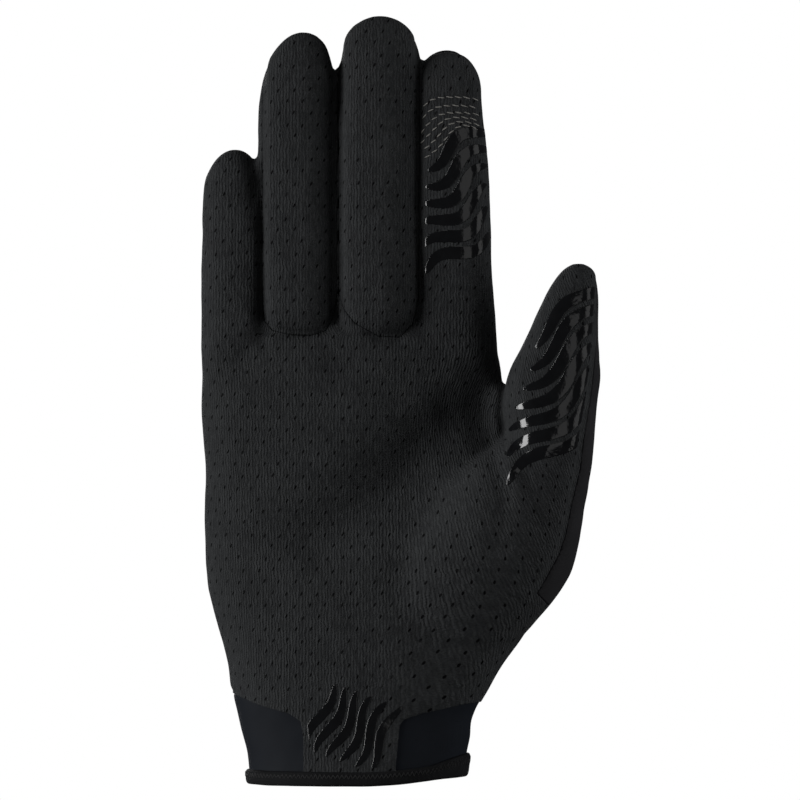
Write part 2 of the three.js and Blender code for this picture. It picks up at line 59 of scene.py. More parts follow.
class Level(NamedTuple):
    """A level section of the palm or the thumb, in shares of its length, breadth and depth."""

    height: float
    left: float
    right: float
    front: float
    back: float
    square: float


class FingerLevel(NamedTuple):
    """A level section of a finger, in shares of its length, width and depth."""

    along: float
    shift: float
    width: float
    depth: float


class Fold(NamedTuple):
    """A long soft dent in the cloth, in millimetres, seen from the palm. A ridge has a negative depth."""

    line: Line
    depth: float
    radius: float
    fade: float


class Side(Enum):
    """Which side of the hand a fold lies on."""

    PALM = -1
    BACK = 1


PALM_LEVELS = (
    Level(0.0, -0.376, 0.37, -0.59, 0.65, 2.2),
    Level(0.063, -0.385, 0.388, -0.58, 0.63, 2.2),
    Level(0.127, -0.412, 0.4, -0.57, 0.61, 2.2),
    Level(0.19, -0.438, 0.442, -0.57, 0.58, 2.3),
    Level(0.2535, -0.448, 0.5, -0.57, 0.56, 2.3),
    Level(0.335, -0.482, 0.592, -0.56, 0.55, 2.4),
    Level(0.4225, -0.518, 0.637, -0.53, 0.53, 2.3),
    Level(0.507, -0.528, 0.617, -0.5, 0.51, 2.3),
    Level(0.6, -0.528, 0.582, -0.47, 0.49, 2.3),
    Level(0.69, -0.53, 0.54, -0.44, 0.47, 2.6),
    Level(0.775, -0.537, 0.509, -0.41, 0.45, 2.8),
    Level(0.859, -0.54, 0.497, -0.37, 0.4, 2.8),
    Level(0.925, -0.525, 0.477, -0.32, 0.33, 2.7),
    Level(0.97, -0.49, 0.435, -0.26, 0.25, 2.5),
    Level(1.0, -0.43, 0.36, -0.14, 0.14, 2.3),
)

THUMB_LEVELS = (
    Level(0.0, -1.15, -0.5, -0.5, 0.32, 2.0),
    Level(0.07, -1.2, -0.35, -0.64, 0.4, 2.0),
    Level(0.14, -1.18, -0.232, -0.72, 0.42, 2.0),
    Level(0.21, -1.12, -0.145, -0.78, 0.42, 2.0),
    Level(0.29, -1.02, -0.097, -0.83, 0.4, 2.0),
    Level(0.38, -0.87, -0.068, -0.86, 0.35, 2.0),
    Level(0.47, -0.73, -0.04, -0.86, 0.27, 2.1),
    Level(0.56, -0.48, -0.02, -0.85, 0.17, 2.2),
    Level(0.64, -0.48, -0.008, -0.83, 0.08, 2.2),
    Level(0.72, -0.45, 0.006, -0.81, 0.0, 2.2),
    Level(0.8, -0.372, 0.0, -0.79, -0.06, 2.2),
    Level(0.87, -0.31, 0.002, -0.76, -0.12, 2.2),
    Level(0.93, -0.255, 0.0, -0.71, -0.18, 2.1),
    Level(0.97, -0.205, -0.012, -0.65, -0.24, 2.0),
    Level(0.99, -0.165, -0.04, -0.57, -0.32, 2.0),
    Level(0.998, -0.132, -0.075, -0.5, -0.39, 2.0),
)


def smooth_rows(rows: Sequence[Sequence[float]], places: Array) -> Array:
    """Reads a table anywhere along its first column, smoothly through its rows.

    Args:
        rows: the table, ordered by its first column.
        places: where to read it.

    Returns:
        One row of all the columns for each place.
    """
    table = np.array(rows, float)
    before = np.vstack([table[:1], table[:-1]])
    after = np.vstack([table[1:], table[-1:]])
    slopes = (after - before) / (after[:, :1] - before[:, :1])
    keys = table[:, 0]
    i = np.clip(np.searchsorted(keys, places, side="right") - 1, 0, len(rows) - 2)
    span = (keys[i + 1] - keys[i])[:, None]
    t = np.clip((places[:, None] - keys[i][:, None]) / span, 0, 1)
    rise = table[i + 1] - table[i]
    start, end = slopes[i] * span, slopes[i + 1] * span
    return table[i] + t * (start + t * (3 * rise - 2 * start - end + t * (start + end - 2 * rise)))


def ease(t: Array | float) -> Array:
    """Eases in and out from 0 to 1."""
    s = np.clip(t, 0, 1)
    return s * s * (3 - 2 * s)


def ramp(value: Array, span: tuple[float, float]) -> Array:
    """Eases from 0 to 1, from a start and over a reach."""
    return ease((value - span[0]) / span[1])


class Sections(NamedTuple):
    """Level sections of a tube, with how square they are all round and at the front's left."""

    x: Array
    y: Array
    half_width: Array
    half_depth: Array
    square: Array
    left_square: Array


@dataclass(frozen=True)
class LevelTube:
    """The palm or the thumb, as a tube through level sections.

    Args:
        levels: its table of sections.
        root: the height of its foot.
        length: its length.
        middle: where its shares across are counted from.
        breadth: what its shares across are shares of.
        depth: what its shares to the front and back are shares of.
        foot: how far the tube runs on below its foot.
        flat: how much squarer its front's left is further up.
        flat_from: where that starts, as a share of its length.
        flat_reach: how far it takes, as a share of its length.
        rings: how many rings of points it has.
    """

    levels: tuple[Level, ...]
    root: float
    length: float
    middle: float
    breadth: float
    depth: float
    foot: float = 0.0
    flat: float = 0.0
    flat_from: float = 0.5
    flat_reach: float = 0.12
    rings: int = 90

    def heights(self) -> Array:
        """The heights of its rings."""
        top = self.root + self.levels[-1].height * self.length
        return np.linspace(self.root - self.foot, top, self.rings)

    def sections(self, z: Array) -> Sections:
        """Reads its sections.

        Args:
            z: the heights to read them at.

        Returns:
            A section for each height.
        """
        share = (z - self.root) / self.length
        _, left, right, front, back, square = smooth_rows(self.levels, share).T
        left, right = self.middle + left * self.breadth, self.middle + right * self.breadth
        front, back = front * self.depth, back * self.depth
        flat = square + self.flat * ease((share - self.flat_from) / self.flat_reach)
        x, y = (left + right) / 2, (front + back) / 2
        return Sections(x, y, (right - left) / 2, (back - front) / 2, square, flat)


@dataclass(frozen=True)
class Finger:
    """A finger's tube, with a rounded tip and, if it is sewn in, a rounded base that stands proud.

    Args:
        left: where its left side lies.
        width: its width.
        depth: its depth.
        root: the height of its foot.
        tip: the height of its tip.
        cap: how high its rounded tip is.
        forward: how far its middle lies in front of the glove's.
        sewn: whether its front is a piece of its own, sewn in across its base.
        levels: its table of sections.
        base_height: how high its rounded base is.
        swell: how much further forward its base lies, if it is sewn in.
        swell_reach: how high up that fades.
        base_width: the width of its lowest section, as a share.
        base_depth: the depth of its lowest section, as a share.
        square: how square its sections are.
        left_square: how square they are at the front's left.
    """

    left: float
    width: float
    depth: float
    root: float
    tip: float
    cap: float
    forward: float
    sewn: bool
    levels: tuple[FingerLevel, ...]
    base_height: float = 8.0
    swell: float = 1.6
    swell_reach: float = 40.0
    base_width: float = 0.62
    base_depth: float = 0.45
    square: float = 1.9
    left_square: float = 3.0

    def heights(self) -> Array:
        """Spaces its rings, close together at its round ends.

        Returns:
            The heights of its rings.
        """
        turn = np.linspace(0, math.pi / 2, 16)
        foot = self.root + self.base_height * (1 - np.cos(turn)) if self.sewn else np.array([self.root])
        top = self.tip - self.cap * (1 - np.sin(turn))
        return np.concatenate([foot, np.linspace(foot[-1], top[0], 60)[1:-1], top])

    def sections(self, z: Array) -> Sections:
        """Reads its sections.

        Args:
            z: the heights to read them at.

        Returns:
            A section for each height.
        """
        _, shift, wide, deep = smooth_rows(self.levels, (z - self.root) / (self.tip - self.root)).T
        tip = np.sqrt(1 - (1 - np.clip((self.tip - z) / self.cap, 0, 1)) ** 2)
        base = np.sqrt(1 - (1 - np.clip((z - self.root) / self.base_height, 0, 1)) ** 2)
        swell = self.swell * (1 - ease((z - self.root - self.base_height) / self.swell_reach))
        if not self.sewn:
            base, swell = np.ones_like(z), np.zeros_like(z)
        width = self.width / 2 * wide * tip * (self.base_width + (1 - self.base_width) * base)
        depth = self.depth / 2 * deep * tip * (self.base_depth + (1 - self.base_depth) * base)
        middle = self.left + self.width * (0.5 + shift)
        squares = np.full_like(z, self.square), np.full_like(z, self.left_square)
        return Sections(middle, -self.forward - swell, width, depth, *squares)


Tube = LevelTube | Finger

PALM_BREADTH = 86.9
PALM_DEPTH = 34.0
PALM_LENGTH = 142.0
THUMB_X = 72.0
THUMB_SPAN = 60.0
THUMB_ROOT = 38.0
THUMB_LENGTH = 118.4
CUFF_HEIGHT = 25.5
TAB_X = -1.6
TAB_WIDTH = 26.0

PALM = LevelTube(PALM_LEVELS, 0.0, PALM_LENGTH, 0.0, PALM_BREADTH, PALM_DEPTH, 8.0)
THUMB = LevelTube(THUMB_LEVELS, THUMB_ROOT, THUMB_LENGTH, THUMB_X, THUMB_SPAN, 30.0, flat=0.8)
LITTLE = Finger(-46.93, 17.1, 18.0, 112.0, 190.8, 11.0, 0.5, False, (
    FingerLevel(0.0, 0.04, 0.92, 0.7),
    FingerLevel(0.14, 0.156, 1.3, 0.92),
    FingerLevel(0.32, 0.176, 1.37, 1.03),
    FingerLevel(0.62, 0.186, 1.36, 1.0),
    FingerLevel(0.86, 0.06, 1.03, 0.92),
    FingerLevel(1.0, 0.1, 0.94, 0.86),
), left_square=2.6)
RING = Finger(-29.13, 23.0, 21.0, 134.4, 226.2, 18.0, 1.2, True, (
    FingerLevel(0.0, 0.0, 0.98, 1.0),
    FingerLevel(0.12, 0.02, 1.1, 1.05),
    FingerLevel(0.5, 0.015, 1.12, 1.0),
    FingerLevel(0.74, 0.0, 1.08, 0.93),
    FingerLevel(0.88, 0.03, 1.04, 0.88),
    FingerLevel(1.0, 0.07, 1.0, 0.82),
))
MIDDLE = Finger(-5.43, 23.1, 21.0, 134.4, 230.9, 14.0, 2.2, True, (
    FingerLevel(0.0, 0.02, 1.0, 1.0),
    FingerLevel(0.12, 0.0, 1.14, 1.05),
    FingerLevel(0.5, 0.0, 1.16, 1.0),
    FingerLevel(0.76, 0.02, 1.08, 0.93),
    FingerLevel(1.0, 0.03, 1.1, 0.84),
))
INDEX = Finger(18.37, 21.6, 20.0, 112.0, 220.6, 12.0, 0.2, False, (
    FingerLevel(0.0, 0.02, 0.92, 0.7),
    FingerLevel(0.12, 0.01, 1.16, 0.92),
    FingerLevel(0.34, -0.045, 1.15, 1.03),
    FingerLevel(0.58, -0.08, 1.12, 0.98),
    FingerLevel(0.8, -0.1, 0.99, 0.9),
    FingerLevel(1.0, -0.12, 0.86, 0.82),
), square=2.5)
WEB = Finger(33.0, 16.5, 13.0, 92.0, 120.6, 5.0, 3.6, False, (
    FingerLevel(0.0, -0.04, 0.8, 0.6),
    FingerLevel(0.5, 0.0, 0.95, 0.9),
    FingerLevel(1.0, 0.04, 0.9, 0.9),
), left_square=2.1)
FINGERS = (LITTLE, RING, MIDDLE, INDEX)


def superellipse(s: Sections, angle: Array) -> tuple[Array, Array]:
    """Finds points round sections.

    Args:
        s: the sections.
        angle: the angle of each point.

    Returns:
        Their places across and back.
    """
    c, d = np.cos(angle), np.sin(angle)
    power = 2 / np.where((c < 0) & (d < 0), s.left_square, s.square)
    x = s.x + s.half_width * np.sign(c) * np.abs(c) ** power
    return x, s.y + s.half_depth * np.sign(d) * np.abs(d) ** power


def points_of(bm: BMesh) -> Array:
    """The places of a mesh's vertices."""
    return np.array([v.co for v in bm.verts], float).reshape(-1, 3)


def place_points(bm: BMesh, points: Array) -> None:
    """Moves a mesh's vertices.

    Args:
        bm: the mesh.
        points: a place for each vertex.
    """
    for v, p in zip(bm.verts, points):
        v.co = p
    bm.normal_update()


def normals_of(bm: BMesh) -> Array:
    """The outward directions at a mesh's vertices."""
    bm.normal_update()
    return np.array([v.normal for v in bm.verts], float).reshape(-1, 3)


def run_of(corners: Array) -> Array:
    """How far along a line each of its corners lies."""
    return np.concatenate([[0], np.cumsum(np.linalg.norm(np.diff(corners, axis=0), axis=1))])


def near_line(points: Array, line: Line) -> tuple[Array, Array]:
    """How far points lie from an open line, and how far along it, as a share.

    Args:
        points: places across and up, one row each.
        line: the line's corners.

    Returns:
        The distance and the share of each point.
    """
    corners = np.array(line, float)
    starts = run_of(corners)
    best, along = np.full(len(points), 1e9), np.zeros(len(points))
    for a, b, start in zip(corners[:-1], corners[1:], starts):
        length = np.linalg.norm(b - a)
        t = np.clip((points - a) @ (b - a) / length**2, 0, 1)
        away = np.linalg.norm(points - a - t[:, None] * (b - a), axis=1)
        closer = away < best
        best = np.where(closer, away, best)
        along = np.where(closer, (start + t * length) / starts[-1], along)
    return best, along


def outside_of(points: Array, outline: Line) -> Array:
    """Measures how far points lie outside a closed outline.

    Args:
        points: places across and up, one row each.
        outline: the outline's corners.

    Returns:
        The distance of each point, less than 0 inside.
    """
    closed = [*outline, outline[0]]
    away, _ = near_line(points, closed)
    inside = np.zeros(len(points), bool)
    for (ax, az), (bx, bz) in zip(closed[:-1], closed[1:]):
        if az == bz:
            continue
        level = (az > points[:, 1]) != (bz > points[:, 1])
        inside ^= level & (points[:, 0] < (bx - ax) * (points[:, 1] - az) / (bz - az) + ax)
    return np.where(inside, -away, away)


def wrinkle(points: Array, scale: float, seed: float) -> Array:
    """Smooth noise at the points, about -1 to 1, its bumps as wide as the scale."""
    move = Vector((seed, -seed, 2 * seed))
    return np.array([noise.noise(Vector(p) / scale + move) for p in points])


@dataclass(frozen=True)
class Seams:
    """Where the glove's seams lie, in millimetres, as seen from the palm, with the cuff's edge as cut."""

    far: float = 400.0
    side: Line = (
        (-35.6, 4.1), (-29.5, -1.5), (29.5, -1.5), (34.0, 1.8), (43.0, 1.8), (48.7, -9.0), (66.0, -9.0),
        (71.3, -12.8),
    )
    heel: Line = ((-35.6, 4.1), (-29.5, -1.5), (31.3, -1.5), (38.2, 4.1))
    thumb: Line = (
        (57.4, 53.7), (53.4, 57.9), (54.7, 59.8), (57.1, 64.2), (60.0, 69.5), (61.9, 75.2), (63.8, 84.8),
        (66.2, 94.8), (67.2, 103.5), (69.3, 115.6), (71.3, 134.0), (72.6, 152.8),
    )
    cuff_left: Line = (
        (-37.4, 27.6), (-29.8, 24.5), (-20.3, 21.9), (-17.0, 19.6), (-16.3, 14.8), (-14.6, -400.0),
    )
    cuff_right: Line = (
        (11.4, -400.0), (11.4, 6.1), (12.6, 18.4), (13.8, 19.9), (19.5, 21.7), (35.6, 23.5),
    )
    ring: Line = (
        (-28.8, 240.0), (-28.6, 200.0), (-28.6, 150.0), (-28.2, 139.5), (-25.5, 136.3), (-20.0, 135.0),
        (-14.0, 134.8), (-9.6, 136.2), (-7.2, 140.5), (-6.2, 147.0), (-6.0, 240.0),
    )
    middle: Line = (
        (-5.8, 240.0), (-5.6, 147.0), (-4.2, 142.6), (-0.8, 138.4), (6.0, 134.7), (12.6, 134.2),
        (16.4, 138.4), (18.2, 146.0), (18.6, 240.0),
    )

    def palm_outline(self) -> list[tuple[float, float]]:
        """The palm panel's outline, with open ground where no seam shows from the front."""
        left, right, foot, top = self.cuff_left[0], self.cuff_right[-1], self.thumb[0], self.thumb[-1]
        cuff = [(-self.far, left[1]), *self.cuff_left, *self.cuff_right, (self.far, right[1])]
        return [*cuff, (self.far, foot[1]), *self.thumb, (top[0], self.far), (-self.far, self.far)]

    def behind(self, p: Array) -> Array:
        """Measures how far points lie behind the seam round the hand's sides.

        Args:
            p: the points.

        Returns:
            The distance of each point, less than 0 in front.
        """
        upper, lower = (np.interp(p[:, 0], *np.array(seam).T) for seam in (self.side, self.heel))
        high = ease((p[:, 2] - self.thumb[0][1]) / 3 + 0.5)
        return p[:, 1] - lower - (upper - lower) * high

    def cuff_top(self, x: Array) -> Array:
        """The height of the cuff's upper edge round the sides and the back of the wrist."""
        (ax, az), (bx, bz) = self.cuff_left[0], self.cuff_right[-1]
        return az + (bz - az) * (x - ax) / (bx - ax)


SEAMS = Seams()


class Panel(Enum):
    """The pieces that the cloth is cut into."""

    PALM = "palm_panel"
    RING = "ring_finger_front"
    MIDDLE = "middle_finger_front"
    BACK = "back_panel"
    CUFF = "cuff_band"


@dataclass(frozen=True)
class Cloth:
    """The worn form of the whole glove, before it is cut along its seams.

    Args:
        voxel: how finely the tubes are fused.
        sides: how many points each ring of a tube has.
        smoothings: how often the fused form is smoothed.
        web: the valley where the thumb meets the palm, which is smoothed more.
        web_reach: how far from the valley that goes.
        web_smoothings: how often.
        ripples: the width, height and seed of each size of undulation.
        groove: how deep the seams pull the cloth in.
        groove_width: how wide that pull is.
        groove_from: the height where it starts, above the cuff.
        groove_rise: how far it takes to grow.
        foot_clear: how far from the foot of the thumb's seam it stays.
        foot_rise: how far it takes to grow there.
        notch: the place across and up of the cleft between two fingertips, with its width and depth.
        notch_rise: how far below that place the cleft starts, and over what height it grows.
        notch_reach: how far above and below the cleft is smoothed again.
        notch_smoothings: how often.
        lift: how much higher the lower edge is on the thumb's side.
        lift_from: where that starts, across.
        lift_to: where it ends, across.
        lift_reach: the height at which it has faded.
        widen: how much higher still the lower edge's corner is.
        widen_from: where that starts, across.
    """

    voxel: float = 0.8
    sides: int = 120
    smoothings: int = 5
    web: Line = ((31.0, 87.0), (26.0, 80.0), (20.0, 68.0), (16.0, 56.0))
    web_reach: float = 9.5
    web_smoothings: int = 60
    ripples: tuple[Triple, ...] = ((15.0, 0.42, 3.1), (5.5, 0.13, 7.7))
    groove: float = 1.0
    groove_width: float = 1.3
    groove_from: float = 26.0
    groove_rise: float = 4.0
    foot_clear: float = 3.0
    foot_rise: float = 6.0
    notch: tuple[float, float, float, float] = (-6.9, 217.0, 1.7, 3.8)
    notch_rise: tuple[float, float] = (9.0, 8.0)
    notch_reach: float = 12.0
    notch_smoothings: int = 3
    lift: float = 2.2
    lift_from: float = 2.0
    lift_to: float = 34.0
    lift_reach: float = 36.0
    widen: float = 3.0
    widen_from: float = 20.0
    palm_folds: tuple[Fold, ...] = (
        Fold(((34.0, 108.6), (29.0, 107.5), (17.4, 98.0), (2.6, 83.0), (-10.4, 73.5)), 4.7, 11.0, 0.3),
        Fold(((43.9, 120.5), (43.3, 111.0), (43.8, 101.0)), 1.8, 1.3, 0.2),
        Fold(((46.0, 103.0), (51.0, 92.0), (55.0, 78.0)), 1.5, 3.2, 0.4),
        Fold(((41.0, 99.0), (43.5, 86.0), (42.0, 70.0)), 1.3, 3.6, 0.6),
        Fold(((45.0, 101.5), (51.5, 93.5), (55.5, 82.0)), -1.1, 2.0, 0.6),
        Fold(((44.0, 99.5), (47.5, 89.5), (50.0, 80.0)), -1.0, 2.2, 0.6),
        Fold(((37.0, 97.0), (38.0, 84.0), (34.0, 72.0)), -0.4, 3.4, 0.7),
        Fold(((-34.0, 122.0), (-22.0, 118.0), (-8.0, 120.0)), 0.7, 5.0, 0.4),
        Fold(((-6.0, 127.0), (8.0, 121.0), (24.0, 124.0)), 0.8, 5.0, 0.3),
        Fold(((-31.0, 70.0), (-22.0, 50.0), (-12.0, 34.0)), 0.6, 7.0, 0.5),
        Fold(((14.0, 62.0), (22.0, 46.0), (24.0, 34.0)), 0.6, 6.0, 0.5),
        Fold(((-28.0, 131.0), (-28.5, 138.0), (-29.0, 146.0)), 0.8, 2.2, 0.6),
        Fold(((-28.9, 186.0), (-29.0, 160.0), (-28.6, 140.0)), 1.2, 0.8, 0.0),
        Fold(((12.0, 113.0), (17.0, 105.0), (14.0, 95.0)), 0.9, 8.5, 0.3),
    )
    back_folds: tuple[Fold, ...] = (
        Fold(((-30.0, 120.0), (-26.0, 80.0)), -1.0, 6.0, 0.9),
        Fold(((-14.0, 128.0), (-12.0, 80.0)), -1.1, 6.0, 0.9),
        Fold(((8.0, 128.0), (6.0, 80.0)), -1.1, 6.0, 0.9),
        Fold(((30.0, 122.0), (24.0, 80.0)), -1.0, 6.0, 0.9),
        Fold(((-30.0, 34.0), (28.0, 38.0)), 0.7, 4.0, 0.3),
    )

    def fused(self) -> BMesh:
        """Fuses the palm, the thumb and the fingers.

        Returns:
            One closed mesh of even faces.
        """
        bm = bmesh.new()
        for tube in (PALM, THUMB, WEB, *FINGERS):
            self.add_tube(bm, tube)
        shape = bpy.data.objects.new("form", bpy.data.meshes.new("form"))
        bm.to_mesh(shape.data)
        bm.free()
        bpy.context.scene.collection.objects.link(shape)
        remesh = shape.modifiers.new("fuse", "REMESH")
        remesh.mode = "VOXEL"
        remesh.voxel_size = self.voxel
        whole = bpy.data.meshes.new_from_object(shape.evaluated_get(bpy.context.evaluated_depsgraph_get()))
        bpy.data.objects.remove(shape)
        made = bmesh.new()
        made.from_mesh(whole)
        bpy.data.meshes.remove(whole)
        self.soften(made, made.verts, self.smoothings)
        valley = [v for v in self.near(made, self.web, self.web_reach) if v.co.y < -2]
        self.soften(made, valley, self.web_smoothings)
        return made

    @staticmethod
    def near(bm: BMesh, line: Line, reach: float) -> list[BMVert]:
        """The vertices that lie near a line, seen from the front."""
        away = near_line(points_of(bm)[:, [0, 2]], line)[0]
        return [v for v, far in zip(bm.verts, away) if far < reach]

    @staticmethod
    def soften(bm: BMesh, verts: Iterable[BMVert], times: int) -> None:
        """Smooths some of a mesh's vertices.

        Args:
            bm: the mesh.
            verts: its vertices to smooth.
            times: how often.
        """
        chosen = list(verts)
        every_way = {"use_axis_x": True, "use_axis_y": True, "use_axis_z": True}
        for _ in range(times):
            bmesh.ops.smooth_vert(bm, verts=chosen, factor=0.5, **every_way)

    def add_tube(self, bm: BMesh, tube: Tube) -> None:
        """Adds a tube to a mesh, closed at both ends.

        Args:
            bm: the mesh.
            tube: the tube.
        """
        heights = tube.heights()
        last = len(heights) - 1
        grid = bmesh.ops.create_grid(bm, x_segments=self.sides, y_segments=last, size=0.5)["verts"]
        flat = np.array([v.co for v in grid])
        z = heights[np.rint((flat[:, 1] + 0.5) * last).astype(int)]
        x, y = superellipse(tube.sections(z), (flat[:, 0] + 0.5) * 2 * math.pi)
        for v, p in zip(grid, zip(x, y, z)):
            v.co = p
        bmesh.ops.remove_doubles(bm, verts=grid, dist=1e-3)
        rims = [e for e in bm.edges if e.is_boundary]
        bmesh.ops.holes_fill(bm, edges=rims, sides=0)
        bmesh.ops.recalc_face_normals(bm, faces=bm.faces)

    def folded(self, points: Array, side: Side, folds: Iterable[Fold]) -> Array:
        """Measures how far points sink into the folds of one side of the hand.

        Args:
            points: the points.
            side: the side.
            folds: its folds.

        Returns:
            How far each point sinks.
        """
        facing = ease(side.value * points[:, 1] / (0.3 * PALM_DEPTH))
        sunk = np.zeros(len(points))
        for fold in folds:
            away, along = near_line(points[:, [0, 2]], fold.line)
            sunk += fold.depth * (1 - fold.fade * along) * facing * np.exp(-((away / fold.radius) ** 2))
        return sunk

    def build(self) -> BMesh:
        """Makes the worn form with its folds and the pull of its seams, before its lower edge is lifted.

        Returns:
            The form, in millimetres.
        """
        bm = self.fused()
        points = points_of(bm)
        points[:, 1] += self.folded(points, Side.PALM, self.palm_folds)
        points[:, 1] -= self.folded(points, Side.BACK, self.back_folds)
        place_points(bm, points)
        normals = normals_of(bm)
        soft = sum(height * wrinkle(points, width, seed) for width, height, seed in self.ripples)
        points = points + normals * (soft - self.pulled(points))[:, None]
        x, z, width, depth = self.notch
        below, rise = self.notch_rise
        share = np.exp(-(((points[:, 0] - x) / width) ** 2)) * ease((points[:, 2] - z + below) / rise)
        points[:, 2] -= depth * share
        place_points(bm, points)
        near = [v for v in bm.verts if abs(v.co.x - x) < 3 * width and abs(v.co.z - z) < self.notch_reach]
        self.soften(bm, near, self.notch_smoothings)
        log.info("cloth: %d faces", len(bm.faces))
        return bm

    def pulled(self, points: Array) -> Array:
        """Measures how far the seams pull points in.

        Args:
            points: the points.

        Returns:
            How far each is pulled in.
        """
        cuts = self.cuts(points)
        seam = np.minimum.reduce([np.abs(cuts[panel]) for panel in (Panel.PALM, Panel.RING, Panel.MIDDLE)])
        pull = self.groove * np.exp(-((seam / self.groove_width) ** 2))
        pull *= ease((points[:, 2] - self.groove_from) / self.groove_rise)
        x, z = SEAMS.thumb[0]
        away = np.hypot(points[:, 0] - x, points[:, 2] - z)
        return pull * ease((away - self.foot_clear) / self.foot_rise)

    def cuts(self, p: Array) -> dict[Panel, Array]:
        """Measures how far points lie outside each panel.

        Args:
            p: the points.

        Returns:
            For each panel the distance of each point, less than 0 inside it.
        """
        flat, behind = p[:, [0, 2]], SEAMS.behind(p)
        ring = np.maximum(outside_of(flat, SEAMS.ring), behind)
        middle = np.maximum(outside_of(flat, SEAMS.middle), behind)
        palm = np.maximum(outside_of(flat, SEAMS.palm_outline()), behind)
        palm = np.maximum.reduce([palm, -ring, -middle])
        fronts = np.minimum.reduce([palm, ring, middle])
        over_cuff = p[:, 2] - SEAMS.cuff_top(p[:, 0])
        return {
            Panel.PALM: palm,
            Panel.RING: ring,
            Panel.MIDDLE: middle,
            Panel.BACK: np.maximum(-fronts, -over_cuff),
            Panel.CUFF: np.maximum(-palm, over_cuff),
        }

    def lifted(self, p: Array) -> Array:
        """Raises the glove's lower edge on the thumb's side.

        Args:
            p: the points.

        Returns:
            The points in their new places.
        """
        across, wide = (
            ease((p[:, 0] - start) / (self.lift_to - start)) for start in (self.lift_from, self.widen_from)
        )
        wide *= ease(p[:, 2] / Hem.height)
        out = p.copy()
        out[:, 2] += (self.lift * across + self.widen * wide) * (1 - ease(p[:, 2] / self.lift_reach))
        return out


CLOTH = Cloth()


# Vertices this far past a cut go before it is made, and no cut comes nearer to an edge's end than this share.
FAR_PAST = 4.0
NEAR_CORNER = 0.03
CUT_SLACK = 1e-6


def trimmed(bm: BMesh, values: Array, level: float) -> BMesh:
    """Cuts a mesh along the line where a value meets a level.

    Args:
        bm: the mesh, which is left as it is.
        values: the value at each vertex.
        level: what is kept lies below it.

    Returns:
        The part that is kept.
    """
    out = bm.copy()
    layer = out.verts.layers.float.new("cut")
    for v, value in zip(out.verts, values):
        v[layer] = value
    bmesh.ops.delete(out, geom=[v for v in out.verts if v[layer] > level + FAR_PAST], context="VERTS")
    fresh = []
    for e in list(out.edges):
        a, b = e.verts
        low, high = a[layer] - level, b[layer] - level
        if low * high < 0:
            share = float(np.clip(low / (low - high), NEAR_CORNER, 1 - NEAR_CORNER))
            _, v = bmesh.utils.edge_split(e, a, share)
            v[layer] = level
            fresh.append(v)
    bmesh.ops.connect_verts(out, verts=fresh)
    bmesh.ops.delete(out, geom=[v for v in out.verts if v[layer] > level + CUT_SLACK], context="VERTS")
    bmesh.ops.delete(out, geom=[v for v in out.verts if not v.link_faces], context="VERTS")
    out.verts.layers.float.remove(out.verts.layers.float["cut"])
    return out


@dataclass(frozen=True)
class Knit:
    """Where each point of the cloth lies in its own weave, in millimetres along and across its ribs.

    Args:
        side: how much wider the cloth lies over a rounded side, for each millimetre of depth.
        overlap: how far past its own width a finger's weave reaches.
        knuckles: the height where the fingers' weaves start, and how far they take.
        crotch: where the thumb's weave starts across, low down, and how far it takes.
        crease: the crease in the thumb's crotch, where it starts higher up, and how far it takes.
        crease_rise: the height where the one goes over into the other, and how far it takes.
        thumb_end: the height where the thumb's weave ends, and how far it takes.
        slope: how strongly the ribs lean at the thumb.
        slope_from: where they start to lean across, and how far that takes.
        slope_level: the height where the lean changes nothing.
        upright: the height where the ribs left of the crease turn upright, and how far they take.
        parting: where the lean parts at the crease.
    """

    side: float = 0.57
    overlap: float = 0.4
    knuckles: tuple[float, float] = (116.0, 20.0)
    crotch: tuple[float, float] = (42.0, 12.0)
    crease: tuple[float, float] = (42.7, 2.0)
    crease_rise: tuple[float, float] = (90.0, 14.0)
    thumb_end: tuple[float, float] = (158.0, 4.0)
    slope: float = 0.5
    slope_from: tuple[float, float] = (5.0, 60.0)
    slope_level: float = 85.0
    upright: tuple[float, float] = (105.0, 25.0)
    parting: float = 43.7

    def around(self, p: Array, tube: Tube) -> Array:
        """Measures across a tube's cloth, over its rounded side.

        Args:
            p: the points.
            tube: the tube.

        Returns:
            The place of each point.
        """
        s = tube.sections(p[:, 2])
        across = p[:, 0] - s.x
        share = np.clip(np.abs(across) / np.maximum(s.half_width, 1), 0, 1)
        depth = np.clip(p[:, 1] - s.y + s.half_depth, 0, None)
        return p[:, 0] + self.side * np.sign(across) * share**3 * depth

    def weave(self, p: Array) -> Array:
        """Lays the weave over the cloth.

        Args:
            p: the points.

        Returns:
            The weave's place for each point, across and along its ribs and in depth.
        """
        x, z = p[:, 0], p[:, 2]
        across = self.around(p, PALM)
        for finger in FINGERS:
            mine = np.abs(x - finger.left - finger.width / 2) < finger.width / 2 + self.overlap
            share = ramp(z, self.knuckles) * mine
            across = across + share * (self.around(p, finger) - across)
        high = ramp(z, self.crease_rise)
        start, reach = (low + (up - low) * high for low, up in zip(self.crotch, self.crease))
        thumb = ease((x - start) / reach) * (1 - ramp(z, self.thumb_end))
        across = across + thumb * (self.around(p, THUMB) - across)
        leaning = 1 - ramp(z, self.upright) * (x < self.parting)
        lean = self.slope * ramp(x, self.slope_from) * (z - self.slope_level) * leaning
        return np.column_stack([across + lean, z, p[:, 1]])


KNIT = Knit()


